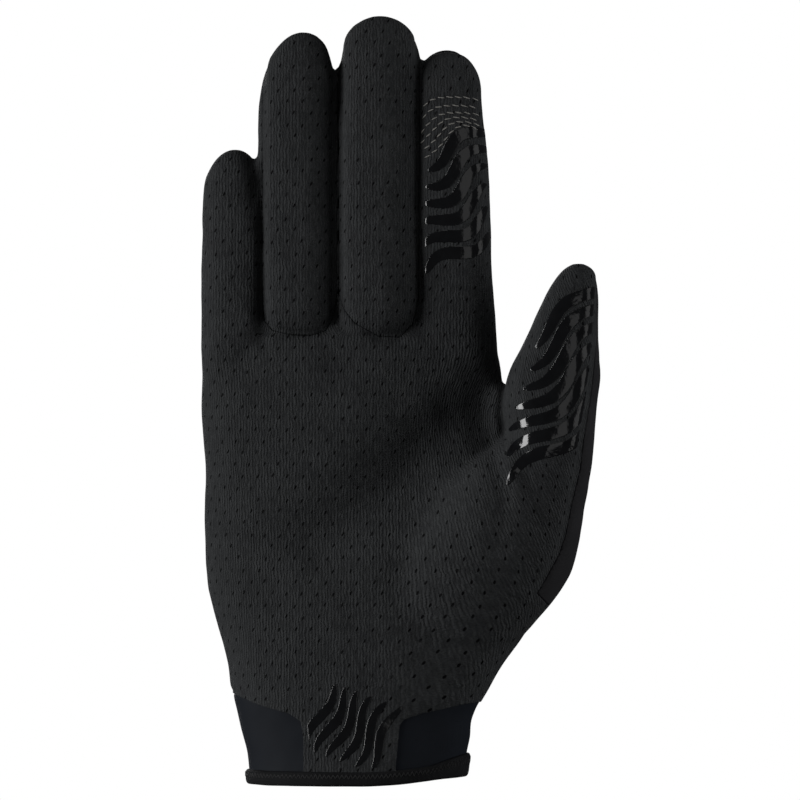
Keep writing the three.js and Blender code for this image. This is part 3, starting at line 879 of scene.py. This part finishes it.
def finished(name: str, bm: BMesh, material: Material, weave: Array | None = None) -> Object:
    """Turns a mesh in millimetres into a smooth, named piece in metres.

    Args:
        name: the piece's name.
        bm: the mesh, which is used up.
        material: the piece's finish.
        weave: the place of each vertex in the weave, if the finish needs it.

    Returns:
        The piece, riding on the glove's one body.
    """
    place_points(bm, CLOTH.lifted(points_of(bm)) * MM)
    for face in bm.faces:
        face.smooth = True
    mesh = bpy.data.meshes.new(name)
    bm.to_mesh(mesh)
    bm.free()
    if weave is not None:
        layer = mesh.attributes.new("weave", "FLOAT_VECTOR", "POINT")
        layer.data.foreach_set("vector", weave.astype(np.float32).ravel())
    mesh.materials.append(material)
    piece = bpy.data.objects.new(name, mesh)
    bpy.context.scene.collection.objects.link(piece)
    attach(piece, "root")
    log.info("%s: %d faces", name, len(mesh.polygons))
    return piece


def thickened(piece: Object, thickness: float) -> None:
    """Gives a piece its thickness, inwards from its outer face.

    Args:
        piece: the piece.
        thickness: its thickness, in millimetres.
    """
    solid = piece.modifiers.new("thickness", "SOLIDIFY")
    solid.thickness = thickness * MM
    solid.offset = -1
    solid.use_rim = True


def arithmetic(operation: str, flipped: bool = False) -> Callable[["Term", "Value"], "Term"]:
    """Makes an operator of Term.

    Args:
        operation: the node's arithmetic.
        flipped: whether the other value comes first.

    Returns:
        The operator.
    """

    def operator(self: "Term", other: "Value") -> "Term":
        """Adds the operator's node."""
        pair = (other, self) if flipped else (self, other)
        return self.graph.sum(operation, *pair)

    return operator


class Term:
    """A shader value that sums like a Python number."""

    def __init__(self, graph: "Graph", socket: NodeSocket) -> None:
        """Wraps a node's output."""
        self.graph = graph
        self.socket = socket

    __add__ = arithmetic("ADD")
    __radd__ = arithmetic("ADD", flipped=True)
    __sub__ = arithmetic("SUBTRACT")
    __rsub__ = arithmetic("SUBTRACT", flipped=True)
    __mul__ = arithmetic("MULTIPLY")
    __rmul__ = arithmetic("MULTIPLY", flipped=True)
    __truediv__ = arithmetic("DIVIDE")
    __rtruediv__ = arithmetic("DIVIDE", flipped=True)


Value = Term | float


class Graph:
    """A material's nodes."""

    def __init__(self, name: str) -> None:
        """Starts a material with its shader."""
        self.material = bpy.data.materials.new(name)
        self.material.use_nodes = True
        self.tree = self.material.node_tree
        self.shader = self.tree.nodes["Principled BSDF"]

    def node(self, kind: str, inputs: dict[str | int, object] | None = None, **settings: object) -> Node:
        """Adds a node.

        Args:
            kind: the node's type.
            inputs: what goes into its sockets, by name or number.
            settings: its own settings.

        Returns:
            The node.
        """
        made = self.tree.nodes.new(kind)
        for key, value in settings.items():
            setattr(made, key, value)
        for key, value in (inputs or {}).items():
            self.feed(made.inputs[key], value)
        return made

    def feed(self, socket: NodeSocket, value: object) -> None:
        """Links a value to a socket, or sets it there.

        Args:
            socket: the socket.
            value: a Term to link, or a number, colour or vector to set.
        """
        if isinstance(value, Term):
            self.tree.links.new(value.socket, socket)
        else:
            socket.default_value = value

    def sum(self, operation: str, *values: Value) -> Term:
        """One step of arithmetic."""
        return self.term("ShaderNodeMath", dict(enumerate(values)), operation=operation)

    def term(self, kind: str, inputs: dict[str | int, object] | None = None, output: str | int = 0,
             **settings: object) -> Term:
        """Adds a node for one output that sums.

        Args:
            kind: the node's type.
            inputs: what goes into its sockets, by name or number.
            output: the output's name or number.
            settings: the node's own settings.

        Returns:
            The output.
        """
        return Term(self, self.node(kind, inputs, **settings).outputs[output])

    def parts(self, vector: Term) -> tuple[Term, ...]:
        """The three parts of a vector."""
        return tuple(Term(self, part) for part in self.node("ShaderNodeSeparateXYZ", {0: vector}).outputs)

    def joined(self, x: Value, y: Value, z: Value = 0.0) -> Term:
        """A vector from its three parts."""
        return self.term("ShaderNodeCombineXYZ", {0: x, 1: y, 2: z})

    def place(self) -> Term:
        """The place on the object, in millimetres."""
        coordinates = self.term("ShaderNodeTexCoord", output="Object")
        return self.term("ShaderNodeVectorMath", {0: coordinates, "Scale": 1 / MM}, operation="SCALE")

    def weave(self) -> Term:
        """The place in the cloth's own weave, in millimetres."""
        return self.term("ShaderNodeAttribute", output="Vector", attribute_name="weave")

    def noise(self, place: Term, scale: float, detail: float = 2.0) -> Term:
        """Cloudy noise from 0 to 1, with scale bumps to the millimetre."""
        return self.term("ShaderNodeTexNoise", {"Vector": place, "Scale": scale, "Detail": detail})

    def step(self, value: Term, start: float, end: float) -> Term:
        """Eases from 0 to 1 as a value goes from start to end."""
        inputs = {"Value": value, "From Min": start, "From Max": end}
        return self.term("ShaderNodeMapRange", inputs, interpolation_type="SMOOTHSTEP")

    def mix(self, share: Value, first: Colour | Term, second: Colour | Term) -> Term:
        """Mixes two colours.

        Args:
            share: how much of the second there is, 0 below 0 and 1 above 1.
            first: the first colour.
            second: the second colour.

        Returns:
            The mixed colour.
        """
        made = self.node("ShaderNodeMix", {"Factor": share}, data_type="RGBA")
        sockets = {s.identifier: s for s in (*made.inputs, *made.outputs)}
        for name, colour in (("A_Color", first), ("B_Color", second)):
            self.feed(sockets[name], colour if isinstance(colour, Term) else (*colour, 1.0))
        return Term(self, sockets["Result_Color"])

    def finish(self, height: Term, depth: float, strength: float, **inputs: object) -> Material:
        """Feeds the shader.

        Args:
            height: the bumps, from 0 to 1.
            depth: how deep they are, in millimetres.
            strength: how strongly they show.
            inputs: the shader's other inputs, with _ for each space in their names.

        Returns:
            The material.
        """
        bump = self.term("ShaderNodeBump", {"Height": height, "Strength": strength, "Distance": depth * MM})
        self.feed(self.shader.inputs["Normal"], bump)
        for name, value in inputs.items():
            colour = isinstance(value, tuple) and len(value) == 3
            self.feed(self.shader.inputs[name.replace("_", " ")], (*value, 1.0) if colour else value)
        return self.material


@dataclass(frozen=True)
class KnitFinish:
    """Matt charcoal knit with upright ribs and staggered rows of small slanted eyelets, with painted shade in
    the grooves between the ribs and inside the eyelets.

    Args:
        name: the material's name.
        rib: a rib's width.
        loop: a loop's height.
        across: how far apart the eyelets lie across.
        up: how far apart their rows lie.
        eyelet_width: half an eyelet's width.
        eyelet_length: half its length.
        lean: how far it leans, for each millimetre up.
        bump: how high the knit's surface is.
        light: the colour of the ribs.
        dark: the colour between them, painted shade in the grooves, and the darker end of the random tone.
        eyelet: the colour inside the eyelets, painted shade for holes that the mesh does not cut.
    """

    name: str = "perforated_knit"
    rib: float = 0.96
    loop: float = 0.8
    across: float = 4.7
    up: float = 3.5
    eyelet_width: float = 0.27
    eyelet_length: float = 0.56
    lean: float = 0.42
    bump: float = 0.34
    light: Colour = (0.038, 0.04, 0.0415)
    dark: Colour = (0.016, 0.0168, 0.0178)
    eyelet: Colour = (0.0012, 0.0012, 0.0015)

    def eyelets(self, g: Graph, u: Term, v: Term) -> Term:
        """Finds the eyelets.

        Args:
            g: the material's nodes.
            u: the place across the ribs.
            v: the place along them.

        Returns:
            1 inside an eyelet and 0 outside.
        """
        row = g.sum("FLOOR", v / self.up)
        column = u / self.across + 0.5 * g.sum("FLOORED_MODULO", row, 2.0)
        cell = g.joined(g.sum("FLOOR", column), row)
        shift, rise, size = g.parts(g.term("ShaderNodeTexWhiteNoise", {"Vector": cell}, "Color"))
        x = (g.sum("FRACT", column) - 0.5) * self.across + 0.9 * (shift - 0.5)
        y = (g.sum("FRACT", v / self.up) - 0.5) * self.up + 0.8 * (rise - 0.5)
        wide = (x - self.lean * y) / self.eyelet_width
        long = y / self.eyelet_length
        away = g.sum("SQRT", wide * wide + long * long)
        return g.step(away, 1.15, 0.9) * g.step(size, 0.05, 0.3)

    def build(self) -> Material:
        """Makes the material.

        Returns:
            The material.
        """
        g = Graph(self.name)
        u, v, depth = g.parts(g.weave())
        drift = g.noise(g.joined(u, v, depth), 0.45, 3.0) - 0.5
        column = (u + 1.5 * drift) / self.rib
        rib = g.sum("ABSOLUTE", g.sum("SINE", column * math.pi))
        offset = 0.5 * g.sum("FLOORED_MODULO", g.sum("FLOOR", column), 2.0)
        loop = 0.5 + 0.5 * g.sum("SINE", (v / self.loop + offset) * 2 * math.pi)
        streak = g.step(g.noise(g.joined(u * 1.1, v * 0.38, depth * 0.5), 1.0, 1.0), 0.3, 0.68)
        fuzz = g.noise(g.joined(u, v, depth), 2.2, 3.0)
        cloud = g.noise(g.joined(u, v, depth), 0.12, 2.0)
        hole = self.eyelets(g, u, v)
        height = (0.3 + 0.7 * streak) * (0.5 * rib + 0.25 * loop * rib) + 0.7 * fuzz - 1.4 * hole
        # Painted shade: the rib term paints the grooves between the ribs darker than their crests; streak,
        # fuzz and cloud vary the tone at random.
        tone = 0.38 * rib * (0.4 + 0.6 * streak) + 0.25 * streak + 1.2 * (fuzz - 0.5)
        cloth = g.mix(tone + 0.5 * (cloud - 0.5) + 0.13, self.dark, self.light)
        # Painted shade: the eyelets are painted near black in place of the dark holes, which the mesh does not
        # cut.
        colour = g.mix(hole, cloth, self.eyelet)
        rough = 0.78 + 0.2 * fuzz
        return g.finish(height, self.bump, 1.0, Base_Color=colour, Roughness=rough, Specular_IOR_Level=0.12)


@dataclass(frozen=True)
class StretchFinish:
    """Fine smooth stretch cloth with a faint grain and slow changes of tone.

    Args:
        name: the material's name.
        light: its lightest colour.
        dark: its darkest colour.
        grain: how far apart the lines of its weave lie.
        roughness: how matt it is.
        specular: how strongly it shines.
        bump: how high its surface is.
    """

    name: str
    light: Colour
    dark: Colour
    grain: float = 0.45
    roughness: float = 0.72
    specular: float = 0.2
    bump: float = 0.05

    def build(self) -> Material:
        """Makes the material.

        Returns:
            The material.
        """
        g = Graph(self.name)
        place = g.place()
        x, y, z = g.parts(place)
        twill = 0.5 + 0.5 * g.sum("SINE", (z / self.grain + (x + y) / self.grain * 0.5) * 2 * math.pi)
        cross = 0.5 + 0.5 * g.sum("SINE", ((x - y) / self.grain) * 2 * math.pi)
        fuzz = g.noise(place, 3.0, 3.0)
        cloud = g.noise(place, 0.1, 2.0)
        height = 0.5 * twill * cross + 0.5 * fuzz
        tone = 0.35 * twill * cross + 0.5 * (fuzz - 0.5) + 0.8 * (cloud - 0.5) + 0.35
        colour = g.mix(tone, self.dark, self.light)
        rough = self.roughness + 0.15 * (fuzz - 0.5)
        shine = self.specular
        return g.finish(height, self.bump, 0.6, Base_Color=colour, Roughness=rough, Specular_IOR_Level=shine)


@dataclass(frozen=True)
class SiliconeFinish:
    """Glossy black silicone, poured on the knit, so its top is slightly uneven."""

    name: str = "silicone_print"
    light: Colour = (0.0075, 0.008, 0.009)
    dark: Colour = (0.003, 0.003, 0.0035)
    bump: float = 0.3

    def build(self) -> Material:
        """Makes the material.

        Returns:
            The material.
        """
        g = Graph(self.name)
        place = g.place()
        cloud = g.noise(place, 0.3, 2.0)
        fine = g.noise(place, 1.1, 3.0)
        colour = g.mix(cloud, self.dark, self.light)
        height, rough = 0.85 * cloud + 0.15 * fine, 0.07 + 0.08 * fine
        return g.finish(height, self.bump, 0.7, Base_Color=colour, Roughness=rough, Specular_IOR_Level=0.55)


@dataclass(frozen=True)
class ThreadFinish:
    """Twisted sewing thread."""

    name: str
    light: Colour
    dark: Colour
    twist: float = 0.35
    bump: float = 0.06

    def build(self) -> Material:
        """Makes the material.

        Returns:
            The material.
        """
        g = Graph(self.name)
        place = g.place()
        x, y, z = g.parts(place)
        ply = 0.5 + 0.5 * g.sum("SINE", ((x + z + y) / self.twist) * 2 * math.pi)
        fuzz = g.noise(place, 3.0, 2.0)
        colour = g.mix(0.6 * ply + 0.4 * fuzz, self.dark, self.light)
        rough = 0.55 + 0.2 * fuzz
        return g.finish(ply, self.bump, 0.6, Base_Color=colour, Roughness=rough, Specular_IOR_Level=0.3)


@dataclass(frozen=True)
class Finishes:
    """All the glove's materials."""

    knit: Material
    back: Material
    cuff: Material
    tape: Material
    silicone: Material
    light_thread: Material
    dark_thread: Material

    @classmethod
    def made(cls) -> "Finishes":
        """Makes them all."""
        finishes = (
            KnitFinish(),
            StretchFinish("stretch_cloth", (0.024, 0.0236, 0.0255), (0.012, 0.012, 0.013), specular=0.12),
            StretchFinish("cuff_cloth", (0.0105, 0.0125, 0.0165), (0.0065, 0.0078, 0.0105),
                          grain=0.3, roughness=0.7, specular=0.1),
            StretchFinish("binding_tape", (0.0145, 0.015, 0.016), (0.0035, 0.0035, 0.004),
                          grain=0.8, roughness=0.85, specular=0.1, bump=0.2),
            SiliconeFinish(),
            ThreadFinish("light_thread", (0.34, 0.33, 0.31), (0.11, 0.105, 0.096)),
            ThreadFinish("dark_thread", (0.022, 0.022, 0.023), (0.004, 0.004, 0.0045)),
        )
        return cls(*(finish.build() for finish in finishes))


@dataclass(frozen=True)
class Panels:
    """The cloth panels, cut from the worn form along the seams.

    Args:
        finishes: the glove's materials.
        gap: the gap along a seam.
        cuff_lap: how far the cuff reaches under the other panels.
        cuff_set_in: how deep it lies under them.
        wall: the cloth's thickness.
        edge: the height of the lower edge, inside the hem's tape.
    """

    finishes: Finishes
    gap: float = 0.16
    cuff_lap: float = 0.5
    cuff_set_in: float = 0.45
    wall: float = 1.1
    edge: float = 2.0

    def build(self, skin: BMesh) -> dict[Panel, Object]:
        """Cuts, thickens and dresses every panel.

        Args:
            skin: the whole cloth.

        Returns:
            Each panel's piece.
        """
        points = points_of(skin)
        cuts = CLOTH.cuts(points)
        made = {}
        for panel, outside in cuts.items():
            cut = np.maximum(outside, self.edge - self.gap - points[:, 2])
            cuff = panel is Panel.CUFF
            bm = trimmed(skin, cut, self.cuff_lap if cuff else -self.gap / 2)
            weave = KNIT.weave(points_of(bm))
            place_points(bm, points_of(bm) - normals_of(bm) * self.cuff_set_in * cuff)
            piece = finished(panel.value + "_cloth", bm, self.material(panel), weave)
            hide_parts(panel.value)
            thickened(piece, self.wall)
            made[panel] = piece
        return made

    def material(self, panel: Panel) -> Material:
        """The finish of a panel."""
        plain = {Panel.BACK: self.finishes.back, Panel.CUFF: self.finishes.cuff}
        return plain.get(panel, self.finishes.knit)


@dataclass(frozen=True)
class GripRow:
    """A row of like silicone bars, printed side by side.

    Args:
        name: the bars' name, before their number.
        bars: how many there are.
        origin: the place that shares are counted from.
        size: what they are shares of, across and up.
        start: the first bar's first end, as shares.
        end: its other end.
        step: how far the next bar lies, as shares.
        width: a bar's width.
        wave: how far it waves to either side.
        shift: how much later its wave starts than the last bar's, as a share of a wave.
    """

    name: str
    bars: int
    origin: tuple[float, float]
    size: tuple[float, float]
    start: tuple[float, float]
    end: tuple[float, float]
    step: tuple[float, float]
    width: float
    wave: float
    shift: float = 0.13

    def line(self, index: int, steps: int = 28) -> list[tuple[float, float]]:
        """Draws a bar's middle line.

        Args:
            index: the bar's number in its row, from 0.
            steps: how many places the line has.

        Returns:
            The places.
        """
        move = np.array(self.step) * index
        a, b = ((np.array(end) + move) * self.size + self.origin for end in (self.start, self.end))
        side = np.array([a[1] - b[1], b[0] - a[0]]) / np.linalg.norm(b - a)
        shares = np.linspace(0, 1, steps)
        waves = [self.wave * math.sin(2 * math.pi * (t + self.shift * index)) for t in shares]
        return [tuple(a + (b - a) * t + side * wave) for t, wave in zip(shares, waves)]


GRIP_ROWS = (
    GripRow("index_grip", 6, (INDEX.left, INDEX.root), (INDEX.width, INDEX.tip - INDEX.root),
            (0.1, 0.385), (0.96, 0.49), (0.0, 0.059), 4.1, 2.2),
    GripRow("thumb_grip", 7, (THUMB_X - THUMB_SPAN, THUMB_ROOT), (THUMB_SPAN, THUMB_LENGTH),
            (0.545, 0.445), (0.965, 0.61), (0.02, 0.06), 4.1, 2.4),
    GripRow("heel_grip", 6, (TAB_X - TAB_WIDTH / 2, 0.0), (TAB_WIDTH, CUFF_HEIGHT),
            (-0.04, 0.46), (0.3, 1.2), (0.145, -0.05), 3.1, 1.2),
)


@dataclass(frozen=True)
class Grips:
    """The raised silicone bars on the knit.

    Args:
        material: their finish.
        thickness: how far they rise.
        edge: how wide their rounded edge is.
        margin: how far they keep from the seams.
        hem: how high they start over the hem.
        border: how much more cloth than a bar is cut out at first.
        unevenness: how much their thickness changes, and over what length.
        clearance: how far over the cloth they start.
        wall: how thick they are made inwards.
    """

    material: Material
    thickness: float = 0.85
    edge: float = 1.5
    margin: float = 1.6
    hem: float = 5.9
    border: float = 1.5
    unevenness: tuple[float, float] = (0.22, 5.0)
    clearance: float = 0.06
    wall: float = 0.4

    def build(self, skin: BMesh) -> list[Object]:
        """Makes every bar of every row."""
        points = points_of(skin)
        palm = CLOTH.cuts(points)[Panel.PALM]
        return [self.bar(skin, points, palm, row, i) for row in GRIP_ROWS for i in range(row.bars)]

    def outside(self, p: Array, palm: Array, row: GripRow, index: int) -> Array:
        """Measures how far points lie outside a bar.

        Args:
            p: the points.
            palm: how far they lie outside the palm's panel.
            row: the bar's row.
            index: its number there, from 0.

        Returns:
            The distance of each point, less than 0 inside the bar.
        """
        away, along = near_line(p[:, [0, 2]], row.line(index))
        half = row.width / 2 * (0.25 + 0.75 * np.sqrt(np.sin(np.pi * np.clip(along, 0.004, 0.996))))
        clear = np.maximum(palm + self.margin, self.hem - p[:, 2])
        facing = np.where(p[:, 1] < 0, 0.0, 9.0)
        return np.maximum(np.maximum(away - half, clear), facing)

    def bar(self, skin: BMesh, points: Array, palm: Array, row: GripRow, index: int) -> Object:
        """Cuts one bar's patch from the cloth, makes it finer and raises it.

        Args:
            skin: the whole cloth.
            points: its points.
            palm: how far they lie outside the palm's panel.
            row: the bar's row.
            index: its number there, from 0.

        Returns:
            The bar.
        """
        rough = trimmed(skin, self.outside(points, palm, row, index), self.border)
        for _ in range(2):
            bmesh.ops.subdivide_edges(rough, edges=rough.edges, cuts=1, use_grid_fill=True, smooth=0.0)
        CLOTH.soften(rough, rough.verts, 2)
        fine = points_of(rough)
        bm = trimmed(rough, self.outside(fine, CLOTH.cuts(fine)[Panel.PALM], row, index), 0.0)
        rough.free()
        place = points_of(bm)
        inside = np.clip(-self.outside(place, CLOTH.cuts(place)[Panel.PALM], row, index), 0, None)
        rise = np.sqrt(1 - (1 - np.clip(inside / self.edge, 0, 1)) ** 2)
        share, length = self.unevenness
        height = self.clearance + self.thickness * rise * (1 + share * wrinkle(place, length, 2.0))
        place_points(bm, place + normals_of(bm) * height[:, None])
        name = f"{row.name}_{index + 1}"
        piece = finished(name + "_print", bm, self.material)
        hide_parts(name)
        thickened(piece, self.wall)
        return piece


@dataclass(frozen=True)
class Stitches:
    """Rows of small sewn stitches, each one a short rounded thread laid on the cloth."""

    skin: BMesh

    def onto(self, tree: BVHTree, x: float, z: float) -> tuple[Vector, Vector]:
        """Finds the palm's side of the cloth.

        Args:
            tree: the cloth.
            x: the place across.
            z: the place up.

        Returns:
            The place on the cloth and the cloth's direction there.
        """
        place, normal, _, _ = tree.ray_cast(Vector((x, -90, z)), Vector((0, 1, 0)))
        if place is None:
            return Vector((x, 0, z)), Vector((0, -1, 0))
        return place, normal

    @staticmethod
    def add(bm: BMesh, a: Vector, b: Vector, radius: float) -> None:
        """Adds one stitch.

        Args:
            bm: the mesh that takes it.
            a: its one end.
            b: its other end.
            radius: the thread's radius.
        """
        along = (b - a).normalized()
        turn = along.to_track_quat("Z", "Y").to_matrix().to_4x4()
        size = Matrix.Diagonal((radius, radius, (b - a).length / 2 + radius, 1))
        place = Matrix.Translation((a + b) / 2) @ turn @ size
        bmesh.ops.create_uvsphere(bm, u_segments=6, v_segments=5, radius=1, matrix=place)


@dataclass(frozen=True)
class TipStitches(Stitches):
    """The nested rows of light stitches on the index fingertip.

    Args:
        material: their finish.
        stitch: a stitch's length.
        pitch: how far the next one lies.
        radius: the thread's radius.
        slant: how far a stitch's ends lie below and above its row.
        lift: how far it lies over the cloth.
        rows: the corners of each row, across and up.
    """

    material: Material
    stitch: float = 1.75
    pitch: float = 2.55
    radius: float = 0.18
    slant: float = 0.18
    lift: float = 0.08
    rows: tuple[tuple[tuple[float, float], ...], ...] = (
        ((36.3, 205.3), (31.0, 206.0), (24.0, 205.8), (20.5, 204.2), (18.9, 201.5)),
        ((36.4, 202.8), (31.0, 203.5), (24.0, 203.1), (20.4, 201.0), (18.8, 198.0)),
        ((36.5, 200.8), (31.0, 201.4), (25.0, 200.9), (21.0, 198.0), (18.8, 194.9)),
        ((36.6, 199.1), (31.0, 200.0), (26.0, 199.2), (22.0, 195.6), (18.7, 192.0)),
        ((36.7, 197.6), (31.5, 198.7), (27.0, 197.6), (23.0, 193.2), (18.6, 189.3)),
        ((36.8, 196.0), (32.5, 197.6), (28.5, 196.2), (24.0, 190.8), (18.4, 186.6)),
    )

    def build(self) -> Object:
        """Makes all the rows as one piece."""
        tree, bm = BVHTree.FromBMesh(self.skin), bmesh.new()
        for i, corners in enumerate(self.rows):
            places = np.linspace(0, len(corners) - 1, 60)
            line = smooth_rows([(k, *c) for k, c in enumerate(corners)], places)[:, 1:]
            lengths = run_of(line)
            at = 0.4 + 0.9 * (i % 2)
            while at + self.stitch < lengths[-1]:
                ends = []
                for s, slant in ((at, -self.slant), (at + self.stitch, self.slant)):
                    x, z = (float(np.interp(s, lengths, line[:, k])) for k in (0, 1))
                    place, normal = self.onto(tree, x, z + slant)
                    ends.append(place + normal * self.lift)
                self.add(bm, *ends, self.radius)
                at += self.pitch
        return finished("index_tip_stitches", bm, self.material)


@dataclass(frozen=True)
class Hem:
    """The folded tape round the wrist opening, with its line of overlock stitches.

    Args:
        tape: the tape's finish.
        thread: the stitches' finish.
        height: how high the tape's upper edge lies.
        rise: how high its lower edge lies.
        half_thickness: half its thickness.
        inset: how far its middle lies inside the cloth's face.
        square: how round its section is, with 1 for an ellipse and less for a box.
        waviness: how much it waves, over what length.
        around: the number of faces round the wrist.
        rings: the number round its section.
        stitch_pitch: half a zigzag's width.
        stitch_heights: where the zigzag's corners lie.
        stitch_uneven: how far they stray.
        stitch_sunk: how deep they lie in the tape.
        stitch_radius: the thread's radius.
        samples: how many places the stitches' ring is measured at.
    """

    tape: Material
    thread: Material
    height: float = 4.8
    rise: float = 0.4
    half_thickness: float = 1.65
    inset: float = 0.75
    square: float = 0.55
    waviness: tuple[float, float] = (0.12, 9.0)
    around: int = 220
    rings: int = 28
    stitch_pitch: float = 1.3
    stitch_heights: tuple[float, float] = (2.7, 3.9)
    stitch_uneven: float = 0.35
    stitch_sunk: float = 0.03
    stitch_radius: float = 0.17
    samples: int = 400

    def point(self, angle: Array, across: Array, z: Array) -> Array:
        """Places points round the wrist.

        Args:
            angle: their angles.
            across: how far out from the cloth's face they lie.
            z: their heights.

        Returns:
            The points.
        """
        s = PALM.sections(z)
        x, y = superellipse(s, angle)
        x2, y2 = superellipse(s, angle + 0.01)
        out = np.column_stack([y2 - y, x - x2])
        out /= np.linalg.norm(out, axis=1)[:, None]
        return np.column_stack([x + out[:, 0] * across, y + out[:, 1] * across, z])

    def build(self) -> list[Object]:
        """Makes the tape and its stitches."""
        bm = bmesh.new()
        grid = bmesh.ops.create_grid(bm, x_segments=self.around, y_segments=self.rings, size=0.5)["verts"]
        flat = np.array([v.co for v in grid])
        angle, turn = (flat[:, 0] + 0.5) * 2 * math.pi, (flat[:, 1] + 0.5) * 2 * math.pi
        c, s = np.cos(turn), np.sin(turn)
        across = self.half_thickness * np.sign(c) * np.abs(c) ** self.square - self.inset
        z = self.rise + (self.height - self.rise) / 2 * (1 + np.sign(s) * np.abs(s) ** self.square)
        place = self.point(angle, across, z)
        high, length = self.waviness
        place[:, 2] += high * wrinkle(np.column_stack([place[:, :2], 0 * z]), length, 5.0)
        for v, p in zip(grid, place):
            v.co = p
        bmesh.ops.remove_doubles(bm, verts=bm.verts, dist=1e-3)
        bmesh.ops.recalc_face_normals(bm, faces=bm.faces)
        tape = finished("hem_tape", bm, self.tape)
        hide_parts("hem_binding")
        return [tape, self.stitches()]

    def stitches(self) -> Object:
        """The zigzag of dark stitches in the tape's upper half."""
        bm = bmesh.new()
        full = np.linspace(0, 2 * math.pi, self.samples)
        lengths = run_of(self.point(full, np.zeros(self.samples), np.full(self.samples, 3.0)))
        count = 2 * round(lengths[-1] / self.stitch_pitch)
        angles = np.interp(np.linspace(0, lengths[-1], count + 1), lengths, full)
        numbers = np.arange(count + 1)
        stray = wrinkle(numbers[:, None] * np.array([[1.7, 0.0, 0.0]]), 2.0, 4.0)
        heights = np.where(numbers % 2, *self.stitch_heights) + self.stitch_uneven * stray
        face = self.half_thickness - self.inset - self.stitch_sunk
        places = self.point(angles, np.full(count + 1, face), heights)
        for a, b in zip(places[:-1], places[1:]):
            Stitches.add(bm, Vector(a), Vector(b), self.stitch_radius)
        return finished("hem_stitches", bm, self.thread)


@dataclass(frozen=True)
class SoftBox:
    """A rectangular studio light that looks at the glove.

    Args:
        name: the light's name.
        place: where it stands, in metres.
        width: its width.
        height: its height.
        power: its power, in watts.
        shines: whether it shows on gloss.
        lights: whether it lights matt cloth.
    """

    name: str
    place: Triple
    width: float
    height: float
    power: float
    shines: bool = True
    lights: bool = True

    def build(self, target: Vector) -> None:
        """Adds the light.

        Args:
            target: the place that it looks at.
        """
        data = bpy.data.lights.new(self.name, "AREA")
        data.shape = "RECTANGLE"
        data.size = self.width
        data.size_y = self.height
        data.energy = self.power
        lamp = bpy.data.objects.new(self.name, data)
        lamp.location = self.place
        lamp.visible_glossy = self.shines
        lamp.visible_diffuse = self.lights
        lamp.rotation_euler = (target - Vector(self.place)).to_track_quat("-Z", "Y").to_euler()
        bpy.context.scene.collection.objects.link(lamp)


@dataclass(frozen=True)
class Studio:
    """A white room with soft lights, and a long lens in front of the palm.

    Args:
        target: the middle of the picture, in metres.
        distance: how far the camera stands.
        view_width: how wide its picture is there.
        surround: how bright the white room is on matt cloth.
        gloss: how bright it is on gloss.
        boxes: the lights.
    """

    target: Triple = (0.0126, 0.0, 0.1155)
    distance: float = 2.5
    view_width: float = 0.24
    surround: float = 0.085
    gloss: float = 0.03
    boxes: tuple[SoftBox, ...] = (
        SoftBox("key_left", (-1.22, -0.47, 0.16), 0.6, 1.1, 18.0),
        SoftBox("fill_right", (1.45, -0.2, 0.2), 1.1, 1.4, 13.0, False),
        SoftBox("sheen_right", (1.4, -0.4, 0.2), 0.5, 1.2, 1.2),
        SoftBox("card_right", (1.03, -1.94, 0.25), 0.9, 1.2, 1.6, True, False),
        SoftBox("top", (0.1, -0.6, 1.4), 0.9, 0.5, 1.5),
        SoftBox("back", (-0.5, 1.8, 0.6), 1.2, 1.2, 14.0),
    )

    def build(self) -> None:
        """Makes the room, the lights and the camera."""
        self.add_room()
        bpy.context.scene.view_settings.view_transform = "Standard"
        for box in self.boxes:
            box.build(Vector(self.target))
        self.add_camera()

    def add_room(self) -> None:
        """Makes the room: white to the camera, dimmer to cloth and to gloss."""
        world = bpy.data.worlds.new("white_room")
        bpy.context.scene.world = world
        world.use_nodes = True
        tree = world.node_tree
        room = tree.nodes["Background"]
        rays = tree.nodes.new("ShaderNodeLightPath").outputs
        level = tree.nodes.new("ShaderNodeMapRange")
        level.inputs["To Min"].default_value = self.surround
        level.inputs["To Max"].default_value = 1.0
        shine = tree.nodes.new("ShaderNodeMath")
        shine.operation = "MULTIPLY_ADD"
        shine.inputs[1].default_value = self.gloss - self.surround
        tree.links.new(rays["Is Camera Ray"], level.inputs["Value"])
        tree.links.new(rays["Is Glossy Ray"], shine.inputs[0])
        tree.links.new(level.outputs[0], shine.inputs[2])
        tree.links.new(shine.outputs[0], room.inputs["Strength"])
        room.inputs["Color"].default_value = (1, 1, 1, 1)

    def add_camera(self) -> None:
        """Makes the camera and looks through it."""
        camera = bpy.data.cameras.new("camera")
        camera.sensor_width = 36.0
        camera.lens = 36.0 * self.distance / self.view_width
        camera.clip_start = 0.1
        camera.clip_end = 20.0
        eye = bpy.data.objects.new("camera", camera)
        eye.location = Vector(self.target) + Vector((0, -self.distance, 0))
        eye.rotation_euler = (math.pi / 2, 0, 0)
        bpy.context.scene.collection.objects.link(eye)
        bpy.context.scene.camera = eye


@dataclass(frozen=True)
class Glove:
    """The whole glove."""

    def build(self) -> None:
        finishes = Finishes.made()
        skin = CLOTH.build()
        panels = Panels(finishes).build(skin)
        prints = Grips(finishes.silicone).build(skin)
        tip = TipStitches(skin, finishes.light_thread).build()
        hem = Hem(finishes.tape, finishes.dark_thread).build()
        skin.free()


def corners(box: tuple[Vector, Vector]) -> list[list[float]]:
    """A box as plain numbers."""
    return [[float(x) for x in corner] for corner in box]


def main() -> None:
    """Builds the scene."""
    logging.basicConfig(level=logging.INFO, format="%(name)s: %(message)s")
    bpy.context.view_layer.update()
    Studio().build()
    Glove().build()
    bpy.context.view_layer.update()


if __name__ == "__main__":
    main()
